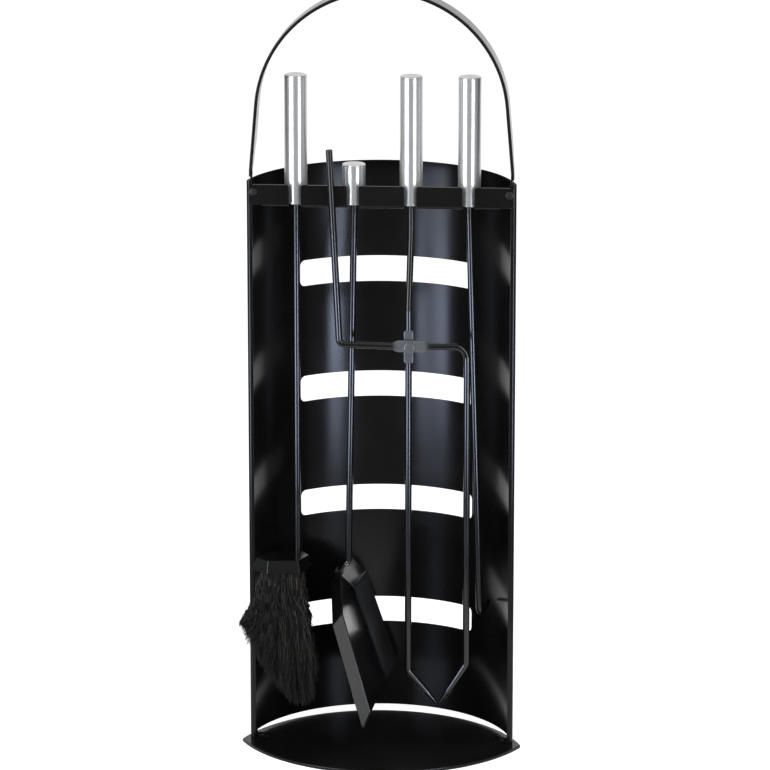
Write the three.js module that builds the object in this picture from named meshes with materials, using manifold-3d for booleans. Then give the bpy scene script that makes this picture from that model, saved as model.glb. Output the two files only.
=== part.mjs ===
// Fireplace tool set: a slotted half-round sheet stand on a lens-shaped base plate, with a
// notched rail that four tools hang from by their grips: a brush, a shovel, tongs and a poker.
// Millimetres, +Z up, origin at the centre of the base plate's underside, front towards -Y.
// Y = 0 is the front face of the stand's folded edges.
import * as THREE from 'three';
import { mergeVertices } from 'three/addons/utils/BufferGeometryUtils.js';
import Module from 'manifold-3d';

const wasm = await Module();
wasm.setup();

// ---------------------------------------------------------------- driving dimensions
const FIT_GAP = 0.3;            // play left where one piece sits in another
const SHEET = 1.5;              // stand and shovel sheet

const STAND_RADIUS = 120.6;     // outside of the curved wall
const STAND_CENTRE_Y = -25;
const STAND_RIM_Z = 513;
const STAND_CORNER_RADIUS = 3;  // outside of the fold between wall and front edge
const STAND_RIM_TO_EAR = 5;
const FLANGE_INNER_X = STAND_RADIUS - 8.6;
const FOOT_GAP = 3;             // gap between the wall's lower edge and the base plate
const FOOT_DEPTH = 16;          // how far back the wall's feet reach
const FOOT_TAB_INNER_X = STAND_RADIUS - 19.6;
const FOOT_TAB_FRONT_Y = 3;
const FOOT_TAB_REAR_Y = 14;

const BASE_THICKNESS = 3;
const BASE_REAR_RADIUS = 1.098 * STAND_RADIUS;
const BASE_REAR_APEX = 0.712 * STAND_RADIUS;
const BASE_FRONT_RADIUS = 1.144 * STAND_RADIUS;
const BASE_FRONT_APEX = -0.657 * STAND_RADIUS;
const BASE_TIP_RADIUS = 1.2;

const SLOT_COUNT = 4;
const SLOT_WIDTH = 153.6;
const SLOT_HEIGHT = 23.3;
const SLOT_PITCH = 105.8;
const SLOT_FIRST_Z = 97.1;      // centre of the lowest slot
const SLOT_CORNER_RADIUS = 5;

const GRIP_DIAMETER = 20;
const GRIP_WALL = 1.2;
const GRIP_LENGTH = 113;
const SHOVEL_GRIP_LENGTH = 35;
const GRIP_CAP_HEIGHT = 1.2;
const GRIP_CAP_ROUND = 1;
const GRIP_SPIGOT_LENGTH = 6;
const GRIP_INSERT_LENGTH = 14;
const ROD_DIAMETER = 6;
const TOOL_Y = GRIP_DIAMETER / 2 + 2;          // how far back the tools hang

const RAIL_HALF_WIDTH = STAND_RADIUS - 5.6;
const RAIL_SHEET = 2;
const RAIL_HEIGHT = 20;
const RAIL_BOTTOM_Z = STAND_RIM_Z - 23;
const RAIL_BEND_RADIUS = 3.5;   // outside of the bend
const SHELF_BACK_Y = TOOL_Y + GRIP_DIAMETER / 2 + 4;
const SHELF_HALF_WIDTH = STAND_RADIUS - 17.1;
const NOTCH_WIDTH = 10;
const NOTCH_CORNER_RADIUS = 2;

const EAR_INNER_X = STAND_RADIUS - 16.6;
const RAIL_BOLT_X = STAND_RADIUS - 9.3;
const RAIL_BOLT_Z = RAIL_BOTTOM_Z + 13.6;
const BOLT_SHANK = 3;
const BOLT_HEAD = 7;
const BOLT_HEAD_HEIGHT = 1.2;
const NUT_ACROSS_FLATS = 5.5;
const NUT_HEIGHT = 2.4;
const BASE_SCREW_X = STAND_RADIUS - 12.1;
const BASE_SCREW_Y = 8.5;

const HOOP_RADIUS = STAND_RADIUS - 10.1;       // outside of the top arc
const HOOP_CENTRE_Z = STAND_RIM_Z + 57.5;
const HOOP_SPLAY = 4.9;         // degrees that the legs lean out
const HOOP_THICKNESS = 3;
const HOOP_WIDTH = 24;
const HOOP_LEG_OUTER_X = STAND_RADIUS - 5.5;
const HOOP_RIM_CLEARANCE = 3;   // between the stand's rim and the leg
const HOOP_HEEL_RISE = 29;      // height over which the leg narrows to its tab
const HOOP_HEEL_WIDTH = 6.5;
const HOOP_TAB_BOTTOM_Z = RAIL_BOTTOM_Z + 4;
const HOOP_TAB_HEIGHT = 14.5;   // the tab ends below the rail's top edge
const HOOP_NECK_LAP = 5;        // how far the neck above the tab runs up the leg

const BRUSH_X = -75;
const SHOVEL_X = -24.5;
const TONGS_X = 25.3;
const POKER_X = 75.8;

const BRUSH_CAP_TOP_Z = 173;
const BRUSH_CAP_HEIGHT = 11;
const BRUSH_CAP_SHEET = 1.2;
const BRUSH_CAP_FLARE = 3;
const BRISTLE_SLICES = 4;
const BRISTLE_COLUMNS = 8;      // columns of strands in a slice
const BRISTLE_ROWS = 10;
const BRISTLE_SLAB_HEIGHT = 5;
const BRISTLE_ROOT_RADIUS = 0.38;
const BRISTLE_SHOULDER_RADIUS = 0.55;
const BRISTLE_SIDES = 3;
const BRISTLE_INSET = 1.5;      // from a slab's edge to the outermost roots
const BRISTLE_LEFT_INSET = 4;   // more at the head's narrow ends, where rows would crowd
const BRISTLE_RIGHT_INSET = 2.5;

const PAN_TOP = new THREE.Vector3(-35.5, TOOL_Y, 124.7);
const PAN_TILT = 17.2;          // degrees from hanging straight down
const PAN_YAW = 4.6;
const PAN_TOP_WIDTH = 113.3;
const PAN_LIP_WIDTH = 135.8;
const PAN_LENGTH = 94.8;
const PAN_HEEL_LENGTH = 27.5;
const PAN_HEEL_WIDTH = 30;
const PAN_WALL_HEIGHT = 13.9;
const PAN_SIDE_FLARE = 10.3;
const PAN_SHOULDER_FLARE = 14;
const PAN_WALL_END = 79;        // where the side walls start to slant down to the lip
const SHOVEL_BEND_RADIUS = 4;
const SHOVEL_TAB_WIDTH = 9;
const SHOVEL_TAB_THICKNESS = 3;
const SHOVEL_TAB_END = 4.5;     // past the rivet
const SHOVEL_TAB_RISE = 3.5;    // from the heel wall's top edge to the rod's bend
const SHOVEL_TAB_TAPER = 5;
const SHOVEL_RIVET = 3.2;
const SHOVEL_RIVET_HEAD = 6;
const SHOVEL_RIVET_HEAD_HEIGHT = 1.2;
const SHOVEL_RIVET_HEIGHT = 6;  // above the pan's floor, up the heel wall

const PIVOT_X = 25;
const PIVOT_Z = 368;
const PIVOT_RIVET = 4;
const PIVOT_HEAD = 10;
const PIVOT_HEAD_HEIGHT = 2;
const PIVOT_BACK_HEIGHT = 1.5;
const LEVER_Y = -7.5;
const LEVER_EYE_X = 26.7;       // middle of the eye
const LEVER_EYE_LENGTH = 27.5;
const LEVER_EYE_HEIGHT = 10.5;
const LEVER_EYE_THICKNESS = 4;
const LEVER_TOP = [-44.5, 543];
const LEVER_LEFT_CORNER = [-36, 370];
const LEVER_RIGHT_CORNER = [75.5, 370];
const LEVER_LEFT_RADIUS = 5;
const LEVER_RIGHT_RADIUS = 11;
const TONGS_BLOCK_X = 24.2;
const TONGS_BLOCK_WIDTH = 8.4;
const TONGS_BLOCK_HEIGHT = 28;
const TONGS_BLOCK_THICKNESS = 4;
const TONGS_LOW_BEND_Z = 72;
const TONGS_ARM_BEND_Z = 79;
const TONGS_ARM_X = 75.7;
const TONGS_TIP = [51, 42];
const TONGS_TIP_LENGTH = 14;
const TONGS_TIP_RADIUS = 1.3;
const TONGS_SET_START = 24;     // how far below the rail the rod sets forward, and over what drop
const TONGS_SET_DROP = 64;
const TONGS_SET_RADIUS = 25;
const TONGS_LOW_BEND_RADIUS = 8;

const POKER_BOTTOM = new THREE.Vector3(86.6, TOOL_Y, 119.5);
const POKER_HOOK = new THREE.Vector3(94, TOOL_Y + 30, 124);
const POKER_BEND_RADIUS = 7;
const POKER_TIP_RADIUS = 1.2;
const POKER_TIP_LENGTH = 14;

// ---------------------------------------------------------------- finishes
const finish = (color, roughness, metalness) =>
  new THREE.MeshStandardMaterial({ color, roughness, metalness, flatShading: true });
const glossBlack = finish('#141211', 0.18, 0.1);
const satinBlack = finish('#1c1b1b', 0.38, 0.2);
const brushedSteel = finish('#c9c9c7', 0.3, 1);
const zincScrew = finish('#2a2a2a', 0.4, 0.8);
const darkFibre = finish('#24261f', 0.95, 0);

// ---------------------------------------------------------------- solids
const MERGE_DISTANCE = 1e-4;
const CIRCLE_STEPS = 24;

function solidOf(geometry) {
  const bare = geometry.index ? geometry.toNonIndexed() : geometry.clone();
  bare.deleteAttribute('normal');
  bare.deleteAttribute('uv');
  const merged = mergeVertices(bare, MERGE_DISTANCE);
  return new wasm.Manifold(new wasm.Mesh({
    numProp: 3,
    vertProperties: new Float32Array(merged.attributes.position.array),
    triVerts: new Uint32Array(merged.index.array),
  }));
}

function geometryOf(solid) {
  const mesh = solid.getMesh();
  const geometry = new THREE.BufferGeometry();
  geometry.setAttribute('position', new THREE.BufferAttribute(mesh.vertProperties, 3));
  geometry.setIndex(new THREE.BufferAttribute(mesh.triVerts, 1));
  geometry.computeVertexNormals();
  return geometry;
}

// An outline drawn in X and Y, raised along Z.
function raised(shape, bottomZ, topZ, steps = CIRCLE_STEPS) {
  const geometry = new THREE.ExtrudeGeometry(shape, {
    depth: topZ - bottomZ, bevelEnabled: false, curveSegments: steps,
  });
  return solidOf(geometry.translate(0, 0, bottomZ));
}

// An outline drawn in X and Z, carried from frontY back to backY.
function carriedBack(shape, frontY, backY, steps = CIRCLE_STEPS) {
  const geometry = new THREE.ExtrudeGeometry(shape, {
    depth: backY - frontY, bevelEnabled: false, curveSegments: steps,
  });
  return solidOf(geometry.rotateX(Math.PI / 2).translate(0, backY, 0));
}

// An outline drawn in Y and Z, carried from leftX to rightX.
function carriedAcross(shape, leftX, rightX, steps = CIRCLE_STEPS) {
  const geometry = new THREE.ExtrudeGeometry(shape, {
    depth: rightX - leftX, bevelEnabled: false, curveSegments: steps,
  });
  const turn = new THREE.Matrix4().makeBasis(
    new THREE.Vector3(0, 1, 0), new THREE.Vector3(0, 0, 1), new THREE.Vector3(1, 0, 0));
  return solidOf(geometry.applyMatrix4(turn).translate(leftX, 0, 0));
}

function box(x0, x1, y0, y1, z0, z1) {
  const geometry = new THREE.BoxGeometry(x1 - x0, y1 - y0, z1 - z0);
  return solidOf(geometry.translate((x0 + x1) / 2, (y0 + y1) / 2, (z0 + z1) / 2));
}

// A profile of [radius, height] pairs turned round the Z axis, or round the Y axis.
function turned(profile, steps = CIRCLE_STEPS, aboutY = false) {
  const points = profile.map(([radius, height]) => new THREE.Vector2(radius, height));
  const geometry = new THREE.LatheGeometry(points, steps);
  return solidOf(aboutY ? geometry : geometry.rotateX(Math.PI / 2));
}

function circleShape(radius, x = 0, y = 0) {
  return new THREE.Shape().absarc(x, y, radius, 0, 2 * Math.PI);
}

function outline(points) {
  return new THREE.Shape(points.map(([x, y]) => new THREE.Vector2(x, y)));
}

// Points round an arc, without its last one, where the next arc of an outline starts.
function arcPoints(x, y, radius, startAngle, endAngle, steps) {
  const points = [];
  for (let i = 0; i < steps; i += 1) {
    const angle = startAngle + ((endAngle - startAngle) * i) / steps;
    points.push([x + radius * Math.cos(angle), y + radius * Math.sin(angle)]);
  }
  return points;
}

function regularOutline(radius, sides, startAngle = 0) {
  const points = [];
  for (let i = 0; i < sides; i += 1) {
    const angle = startAngle + (2 * Math.PI * i) / sides;
    points.push([radius * Math.cos(angle), radius * Math.sin(angle)]);
  }
  return outline(points);
}

// A strip of even thickness along a line of points in a plane.
function stripOutline(points, thickness) {
  const last = points.length - 1;
  const runs = points.slice(1).map((point, i) => point.clone().sub(points[i]).normalize());
  const side = (sign) => points.map((point, i) => {
    const into = runs[Math.max(i - 1, 0)];
    const out = runs[Math.min(i, last - 1)];
    const along = into.clone().add(out).normalize();
    const normal = new THREE.Vector2(-along.y, along.x);
    return point.clone().addScaledVector(normal, (sign * thickness) / (2 * along.dot(into)));
  });
  return new THREE.Shape([...side(1).reverse(), ...side(-1)]);
}

function roundedRectangle(width, height, radius, centreX = 0, centreY = 0) {
  const shape = new THREE.Shape();
  const right = centreX + width / 2;
  const left = centreX - width / 2;
  const top = centreY + height / 2;
  const bottom = centreY - height / 2;
  shape.absarc(right - radius, bottom + radius, radius, -Math.PI / 2, 0);
  shape.absarc(right - radius, top - radius, radius, 0, Math.PI / 2);
  shape.absarc(left + radius, top - radius, radius, Math.PI / 2, Math.PI);
  shape.absarc(left + radius, bottom + radius, radius, Math.PI, 1.5 * Math.PI);
  shape.closePath();
  return shape;
}

// Straight runs joined by round bends. Steps fall on the ends of runs and evenly round bends.
class BentPath extends THREE.Curve {
  constructor(corners, bendRadii, bendSteps) {
    super();
    this.stations = [corners[0]];
    for (let i = 1; i < corners.length - 1; i += 1) {
      const into = corners[i].clone().sub(corners[i - 1]).normalize();
      const out = corners[i + 1].clone().sub(corners[i]).normalize();
      const turn = into.angleTo(out);
      const radius = bendRadii[i - 1];
      const reach = radius * Math.tan(turn / 2);
      const start = corners[i].clone().addScaledVector(into, -reach);
      const inward = out.clone().sub(into).normalize();
      const centre = corners[i].clone().addScaledVector(inward, radius / Math.cos(turn / 2));
      const axis = into.clone().cross(out).normalize();
      for (let k = 0; k <= bendSteps; k += 1) {
        const arm = start.clone().sub(centre).applyAxisAngle(axis, (turn * k) / bendSteps);
        this.stations.push(arm.add(centre));
      }
    }
    this.stations.push(corners[corners.length - 1]);
    this.steps = this.stations.length - 1;
  }

  getPoint(t, target = new THREE.Vector3()) {
    const place = t * this.steps;
    const index = Math.min(Math.floor(place), this.steps - 1);
    return target.copy(this.stations[index]).lerp(this.stations[index + 1], place - index);
  }

  getPointAt(u, target) {
    return this.getPoint(u, target);
  }

  getTangentAt(u, target = new THREE.Vector3()) {
    const index = Math.round(u * this.steps);
    const before = this.stations[Math.max(index - 1, 0)];
    const after = this.stations[Math.min(index + 1, this.steps)];
    if (index === 0 || index === this.steps) return target.copy(after).sub(before).normalize();
    const here = this.stations[index];
    const into = here.clone().sub(before).normalize();
    return target.copy(after).sub(here).normalize().add(into).normalize();
  }
}

const ROD_SIDES = 12;
const BEND_STEPS = 4;

function rodAlong(corners, bendRadii, radius = ROD_DIAMETER / 2, bendSteps = BEND_STEPS) {
  const path = new BentPath(corners, bendRadii, bendSteps);
  return solidOf(new THREE.ExtrudeGeometry(regularOutline(radius, ROD_SIDES), {
    steps: path.steps, extrudePath: path, bevelEnabled: false,
  }));
}

// A rod's drawn-down end, from the full section to a blunt tip.
const TIP_LAP = 1;              // how far the drawn-down part starts inside the rod
const TIP_STEP = 0.02;
function drawnTip(start, end, tipRadius, rodRadius = ROD_DIAMETER / 2) {
  const direction = end.clone().sub(start).normalize();
  const from = start.clone().addScaledVector(direction, -TIP_LAP);
  const length = end.distanceTo(from);
  const geometry = new THREE.CylinderGeometry(tipRadius, rodRadius - TIP_STEP, length, ROD_SIDES);
  geometry.translate(0, length / 2, 0);
  geometry.applyQuaternion(new THREE.Quaternion().setFromUnitVectors(new THREE.Vector3(0, 1, 0), direction));
  return solidOf(geometry.translate(from.x, from.y, from.z));
}

function meshOf(name, solid, material, x = 0, y = 0, z = 0) {
  const mesh = new THREE.Mesh(geometryOf(solid), material);
  mesh.name = name;
  mesh.position.set(x, y, z);
  return mesh;
}

const degrees = THREE.MathUtils.degToRad;
const at = (x, y, z) => new THREE.Vector3(x, y, z);
const bore = (diameter) => diameter / 2 + FIT_GAP;
const sides = [['left', -1], ['right', 1]];
const inOrder = (a, b) => (a < b ? [a, b] : [b, a]);

// ---------------------------------------------------------------- base plate
// Two arcs that meet in a blunt tip on each side.
function basePlate() {
  const rearY = BASE_REAR_APEX - BASE_REAR_RADIUS;
  const frontY = BASE_FRONT_APEX + BASE_FRONT_RADIUS;
  const rearReach = BASE_REAR_RADIUS - BASE_TIP_RADIUS;
  const frontReach = BASE_FRONT_RADIUS - BASE_TIP_RADIUS;
  const apart = frontY - rearY;
  const along = (rearReach ** 2 - frontReach ** 2 + apart ** 2) / (2 * apart);
  const tipX = Math.sqrt(rearReach ** 2 - along ** 2);
  const tipY = rearY + along;
  const rearAngle = Math.atan2(tipY - rearY, tipX);
  const frontAngle = Math.atan2(tipY - frontY, tipX);
  const shape = outline([
    ...arcPoints(0, rearY, BASE_REAR_RADIUS, rearAngle, Math.PI - rearAngle, 36),
    ...arcPoints(-tipX, tipY, BASE_TIP_RADIUS, Math.PI - rearAngle, Math.PI - frontAngle, 3),
    ...arcPoints(0, frontY, BASE_FRONT_RADIUS, Math.PI - frontAngle, 2 * Math.PI + frontAngle, 36),
    ...arcPoints(tipX, tipY, BASE_TIP_RADIUS, frontAngle, rearAngle, 3),
  ]);
  let plate = raised(shape, 0, BASE_THICKNESS);
  for (const [, side] of sides) {
    const screw = circleShape(bore(BOLT_SHANK), side * BASE_SCREW_X, BASE_SCREW_Y);
    plate = plate.subtract(raised(screw, -1, BASE_THICKNESS + 1, 6));
  }
  return plate;
}

// ---------------------------------------------------------------- stand
// The middle line of the stand's section: an arc with a folded edge at each end.
const middle = STAND_RADIUS - SHEET / 2;
const fold = STAND_CORNER_RADIUS - SHEET / 2;
const foldY = SHEET / 2 + fold;
const foldX = Math.sqrt((middle - fold) ** 2 - (foldY - STAND_CENTRE_Y) ** 2);

function standLine() {
  const angle = Math.atan2(foldY - STAND_CENTRE_Y, foldX);
  const path = new THREE.Path();
  path.moveTo(FLANGE_INNER_X, SHEET / 2);
  path.lineTo(foldX, SHEET / 2);
  path.absarc(foldX, foldY, fold, -Math.PI / 2, angle);
  const half = path.getPoints(4);
  const arcSteps = 40;
  const points = [...half];
  for (let i = 1; i < arcSteps; i += 1) {
    const turn = angle + ((Math.PI - 2 * angle) * i) / arcSteps;
    points.push(new THREE.Vector2(middle * Math.cos(turn), STAND_CENTRE_Y + middle * Math.sin(turn)));
  }
  points.push(...half.map((p) => new THREE.Vector2(-p.x, p.y)).reverse());
  return points.filter((p, i) => i === 0 || p.distanceTo(points[i - 1]) > MERGE_DISTANCE);
}

const wallBottomZ = BASE_THICKNESS + FOOT_GAP;
const earTopZ = STAND_RIM_Z - STAND_RIM_TO_EAR;
const earBottomZ = RAIL_BOTTOM_Z + RAIL_SHEET;

function backStand() {
  let stand = raised(stripOutline(standLine(), SHEET), BASE_THICKNESS, STAND_RIM_Z);
  const reach = STAND_RADIUS + 10;
  stand = stand.subtract(box(-reach, reach, FOOT_DEPTH, reach, 0, wallBottomZ));
  for (let i = 0; i < SLOT_COUNT; i += 1) {
    const slot = roundedRectangle(
      SLOT_WIDTH, SLOT_HEIGHT, SLOT_CORNER_RADIUS, 0, SLOT_FIRST_Z + i * SLOT_PITCH);
    stand = stand.subtract(carriedBack(slot, 0, reach, 3));
  }
  const wallMiddle = circleShape(STAND_RADIUS - SHEET / 2, 0, STAND_CENTRE_Y);
  const insideWall = raised(wallMiddle, 0, STAND_RIM_Z, 60);
  const tabTopZ = BASE_THICKNESS + SHEET;
  for (const [, side] of sides) {
    const [earX0, earX1] = inOrder(side * EAR_INNER_X, side * (FLANGE_INNER_X + 1));
    stand = stand.add(box(earX0, earX1, 0, SHEET, earBottomZ, earTopZ));
    const [tabX0, tabX1] = inOrder(side * FOOT_TAB_INNER_X, side * STAND_RADIUS);
    const tab = box(tabX0, tabX1, FOOT_TAB_FRONT_Y, FOOT_TAB_REAR_Y, BASE_THICKNESS, tabTopZ);
    stand = stand.add(tab.intersect(insideWall));
    const railBolt = circleShape(bore(BOLT_SHANK), side * RAIL_BOLT_X, RAIL_BOLT_Z);
    stand = stand.subtract(carriedBack(railBolt, -1, SHEET + 1, 6));
    const footScrew = circleShape(bore(BOLT_SHANK), side * BASE_SCREW_X, BASE_SCREW_Y);
    stand = stand.subtract(raised(footScrew, 0, wallBottomZ, 6));
  }
  return stand;
}

// ---------------------------------------------------------------- rail
const shelfTopZ = RAIL_BOTTOM_Z + RAIL_SHEET;
const railTopZ = RAIL_BOTTOM_Z + RAIL_HEIGHT;

function toolRail() {
  const inner = RAIL_BEND_RADIUS - RAIL_SHEET;
  const bendY = RAIL_BEND_RADIUS - RAIL_SHEET;
  const bendZ = RAIL_BOTTOM_Z + RAIL_BEND_RADIUS;
  const section = new THREE.Shape();
  section.moveTo(-RAIL_SHEET, railTopZ);
  section.lineTo(-RAIL_SHEET, bendZ);
  section.absarc(bendY, bendZ, RAIL_BEND_RADIUS, Math.PI, 1.5 * Math.PI);
  section.lineTo(SHELF_BACK_Y, RAIL_BOTTOM_Z);
  section.lineTo(SHELF_BACK_Y, shelfTopZ);
  section.absarc(bendY, bendZ, inner, 1.5 * Math.PI, Math.PI, true);
  section.lineTo(0, railTopZ);
  section.closePath();
  let rail = carriedAcross(section, -RAIL_HALF_WIDTH, RAIL_HALF_WIDTH, 5);
  for (const [, side] of sides) {
    const [x0, x1] = inOrder(side * SHELF_HALF_WIDTH, side * (RAIL_HALF_WIDTH + 1));
    rail = rail.subtract(box(x0, x1, 0, SHELF_BACK_Y + 1, RAIL_BOTTOM_Z - 1, bendZ + 1));
    const bolt = circleShape(bore(BOLT_SHANK), side * RAIL_BOLT_X, RAIL_BOLT_Z);
    rail = rail.subtract(carriedBack(bolt, -RAIL_SHEET - 1, 1, 6));
  }
  for (const x of [BRUSH_X, SHOVEL_X, TONGS_X, POKER_X]) rail = rail.subtract(notch(x));
  return rail;
}

// A notch open at the top with rounded corners, which runs back into the shelf as a round-ended slot.
function notch(x) {
  const half = NOTCH_WIDTH / 2;
  const corner = NOTCH_CORNER_RADIUS;
  const below = RAIL_BOTTOM_Z - 1;
  const mouth = new THREE.Shape();
  mouth.moveTo(x - half, below);
  mouth.lineTo(x + half, below);
  mouth.absarc(x + half + corner, railTopZ - corner, corner, Math.PI, Math.PI / 2, true);
  mouth.lineTo(x + half + corner, railTopZ + 1);
  mouth.lineTo(x - half - corner, railTopZ + 1);
  mouth.absarc(x - half - corner, railTopZ - corner, corner, Math.PI / 2, 0, true);
  mouth.closePath();
  const slot = new THREE.Shape();
  slot.moveTo(x - half, -RAIL_SHEET - 1);
  slot.lineTo(x + half, -RAIL_SHEET - 1);
  slot.absarc(x, TOOL_Y, half, 0, Math.PI);
  slot.closePath();
  return carriedBack(mouth, -RAIL_SHEET - 1, RAIL_SHEET, 2).add(raised(slot, below, shelfTopZ + 1, 5));
}

// ---------------------------------------------------------------- carrying hoop
const hoopFrontY = SHEET;
const hoopLegBottomZ = STAND_RIM_Z + HOOP_RIM_CLEARANCE;
const tabBackY = hoopFrontY + HOOP_THICKNESS;

function carryHoop() {
  const splay = degrees(HOOP_SPLAY);
  const radius = HOOP_RADIUS - HOOP_THICKNESS / 2;
  const legX = HOOP_LEG_OUTER_X - HOOP_THICKNESS / 2;
  const startX = radius * Math.cos(splay);
  const startZ = HOOP_CENTRE_Z + radius * Math.sin(splay);
  const kneeZ = startZ - (legX - startX) / Math.tan(splay);
  const arcSteps = 36;
  const points = [new THREE.Vector2(legX, hoopLegBottomZ), new THREE.Vector2(legX, kneeZ)];
  for (let i = 0; i <= arcSteps; i += 1) {
    const turn = splay + ((Math.PI - 2 * splay) * i) / arcSteps;
    points.push(new THREE.Vector2(radius * Math.cos(turn), HOOP_CENTRE_Z + radius * Math.sin(turn)));
  }
  points.push(new THREE.Vector2(-legX, kneeZ), new THREE.Vector2(-legX, hoopLegBottomZ));
  const rearY = hoopFrontY + HOOP_WIDTH;
  let hoop = carriedBack(stripOutline(points, HOOP_THICKNESS), hoopFrontY, rearY);
  const heel = outline([
    [hoopFrontY + HOOP_HEEL_WIDTH, hoopLegBottomZ - 1],
    [rearY + 1, hoopLegBottomZ - 1],
    [rearY + 1, hoopLegBottomZ + HOOP_HEEL_RISE],
    [rearY, hoopLegBottomZ + HOOP_HEEL_RISE],
    [hoopFrontY + HOOP_HEEL_WIDTH, hoopLegBottomZ + 1],
  ]);
  hoop = hoop.subtract(carriedAcross(heel, -STAND_RADIUS, STAND_RADIUS));
  const tabTopZ = HOOP_TAB_BOTTOM_Z + HOOP_TAB_HEIGHT;
  const neckTopZ = hoopLegBottomZ + HOOP_NECK_LAP;
  for (const [, side] of sides) {
    const outerX = side * (foldX - FIT_GAP);
    const [tabX0, tabX1] = inOrder(side * EAR_INNER_X, outerX);
    hoop = hoop.add(box(tabX0, tabX1, hoopFrontY, tabBackY, HOOP_TAB_BOTTOM_Z, tabTopZ));
    const [neckX0, neckX1] = inOrder(side * (HOOP_LEG_OUTER_X - HOOP_THICKNESS), outerX);
    hoop = hoop.add(box(neckX0, neckX1, hoopFrontY, tabBackY, tabTopZ - 1, neckTopZ));
    const bolt = circleShape(bore(BOLT_SHANK), side * RAIL_BOLT_X, RAIL_BOLT_Z);
    hoop = hoop.subtract(carriedBack(bolt, 0, tabBackY + 1, 6));
  }
  return hoop;
}

// ---------------------------------------------------------------- fasteners
const SCREW_SIDES = 12;

// The profile of a round-headed screw that stands on height 0 with its shank below.
function screwProfile(length) {
  const shank = BOLT_SHANK / 2;
  const head = BOLT_HEAD / 2;
  return [
    [0, -length], [shank, -length], [shank, 0], [head, 0],
    [head, BOLT_HEAD_HEIGHT * 0.4], [head * 0.75, BOLT_HEAD_HEIGHT * 0.85], [0, BOLT_HEAD_HEIGHT],
  ];
}

// A rail bolt lies along Y, with its head towards the front.
function railBolt() {
  const length = RAIL_SHEET + tabBackY + NUT_HEIGHT + 0.5;
  const towardsFront = screwProfile(length).map(([radius, height]) => [radius, -height]).reverse();
  return turned(towardsFront, SCREW_SIDES, true);
}

function railNut() {
  const corner = NUT_ACROSS_FLATS / Math.sqrt(3);
  const body = carriedBack(regularOutline(corner, 6, Math.PI / 6), 0, NUT_HEIGHT);
  return body.subtract(carriedBack(circleShape(bore(BOLT_SHANK)), -1, NUT_HEIGHT + 1, 6));
}

function fastenerMeshes() {
  const meshes = [];
  const tabTopZ = BASE_THICKNESS + SHEET;
  for (const [name, side] of sides) {
    const x = side * RAIL_BOLT_X;
    meshes.push(
      meshOf(`rail_bolt_${name}`, railBolt(), zincScrew, x, -RAIL_SHEET, RAIL_BOLT_Z),
      meshOf(`rail_nut_${name}`, railNut(), zincScrew, x, tabBackY, RAIL_BOLT_Z),
      meshOf(`base_screw_${name}`, turned(screwProfile(tabTopZ - FIT_GAP), SCREW_SIDES), zincScrew,
        side * BASE_SCREW_X, BASE_SCREW_Y, tabTopZ),
    );
  }
  return meshes;
}

// ---------------------------------------------------------------- grips
const GRIP_SIDES = 24;
const gripBore = GRIP_DIAMETER / 2 - GRIP_WALL;

// A closed ring of rectangular section.
function ring(inner, outer, bottomZ, topZ, steps) {
  return turned([[inner, bottomZ], [outer, bottomZ], [outer, topZ], [inner, topZ], [inner, bottomZ]], steps);
}

function gripCap() {
  const outer = GRIP_DIAMETER / 2;
  const spigot = gripBore - FIT_GAP;
  const roundSteps = 2;
  const profile = [[0, -GRIP_SPIGOT_LENGTH], [spigot, -GRIP_SPIGOT_LENGTH], [spigot, 0], [outer, 0]];
  for (let i = 0; i <= roundSteps; i += 1) {
    const angle = (i * Math.PI) / (2 * roundSteps);
    profile.push([
      outer - GRIP_CAP_ROUND * (1 - Math.cos(angle)),
      GRIP_CAP_HEIGHT - GRIP_CAP_ROUND * (1 - Math.sin(angle)),
    ]);
  }
  profile.push([0, GRIP_CAP_HEIGHT]);
  return turned(profile, GRIP_SIDES);
}

// A grip stands on the rail's shelf: a tube with a cap in its top and an insert round the rod.
function gripMeshes(tool, x, length) {
  const capSeatZ = shelfTopZ + length - GRIP_CAP_HEIGHT;
  const tube = ring(gripBore, GRIP_DIAMETER / 2, shelfTopZ, capSeatZ, GRIP_SIDES);
  const insertTopZ = shelfTopZ + GRIP_INSERT_LENGTH;
  const insert = ring(bore(ROD_DIAMETER), gripBore - FIT_GAP, shelfTopZ, insertTopZ, ROD_SIDES);
  return [
    meshOf(`${tool}_grip`, tube, brushedSteel, x, TOOL_Y),
    meshOf(`${tool}_grip_cap`, gripCap(), brushedSteel, x, TOOL_Y, capSeatZ),
    meshOf(`${tool}_grip_insert`, insert, satinBlack, x, TOOL_Y),
  ];
}

const rodTopZ = shelfTopZ + GRIP_INSERT_LENGTH - 1;
const rodKneeZ = RAIL_BOTTOM_Z - 6;     // where a rod that leans starts to lean
const LEAN_BEND_RADIUS = 60;

// ---------------------------------------------------------------- brush
// The head's outline, seen from above, with the rod near its right-hand corner.
const brushHead = [[-110.5, -5], [-99, -13], [-73, -10], [-65, 8], [-72, 20], [-84, 23], [-101.5, 15]];
const brushCapBottomZ = BRUSH_CAP_TOP_Z - BRUSH_CAP_HEIGHT;

// Moves each edge of an anticlockwise outline outwards by its own distance.
function pushedOut(points, distances) {
  const count = points.length;
  const edges = points.map(([x, y], i) => {
    const [nx, ny] = points[(i + 1) % count];
    const length = Math.hypot(nx - x, ny - y);
    const along = [(nx - x) / length, (ny - y) / length];
    const out = distances[i % distances.length];
    return { start: [x + along[1] * out, y - along[0] * out], along };
  });
  return edges.map((edge, i) => {
    const before = edges[(i + count - 1) % count];
    const cross = before.along[0] * edge.along[1] - before.along[1] * edge.along[0];
    const gapX = edge.start[0] - before.start[0];
    const gapY = edge.start[1] - before.start[1];
    const run = (gapX * edge.along[1] - gapY * edge.along[0]) / cross;
    return [before.start[0] + before.along[0] * run, before.start[1] + before.along[1] * run];
  });
}

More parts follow.
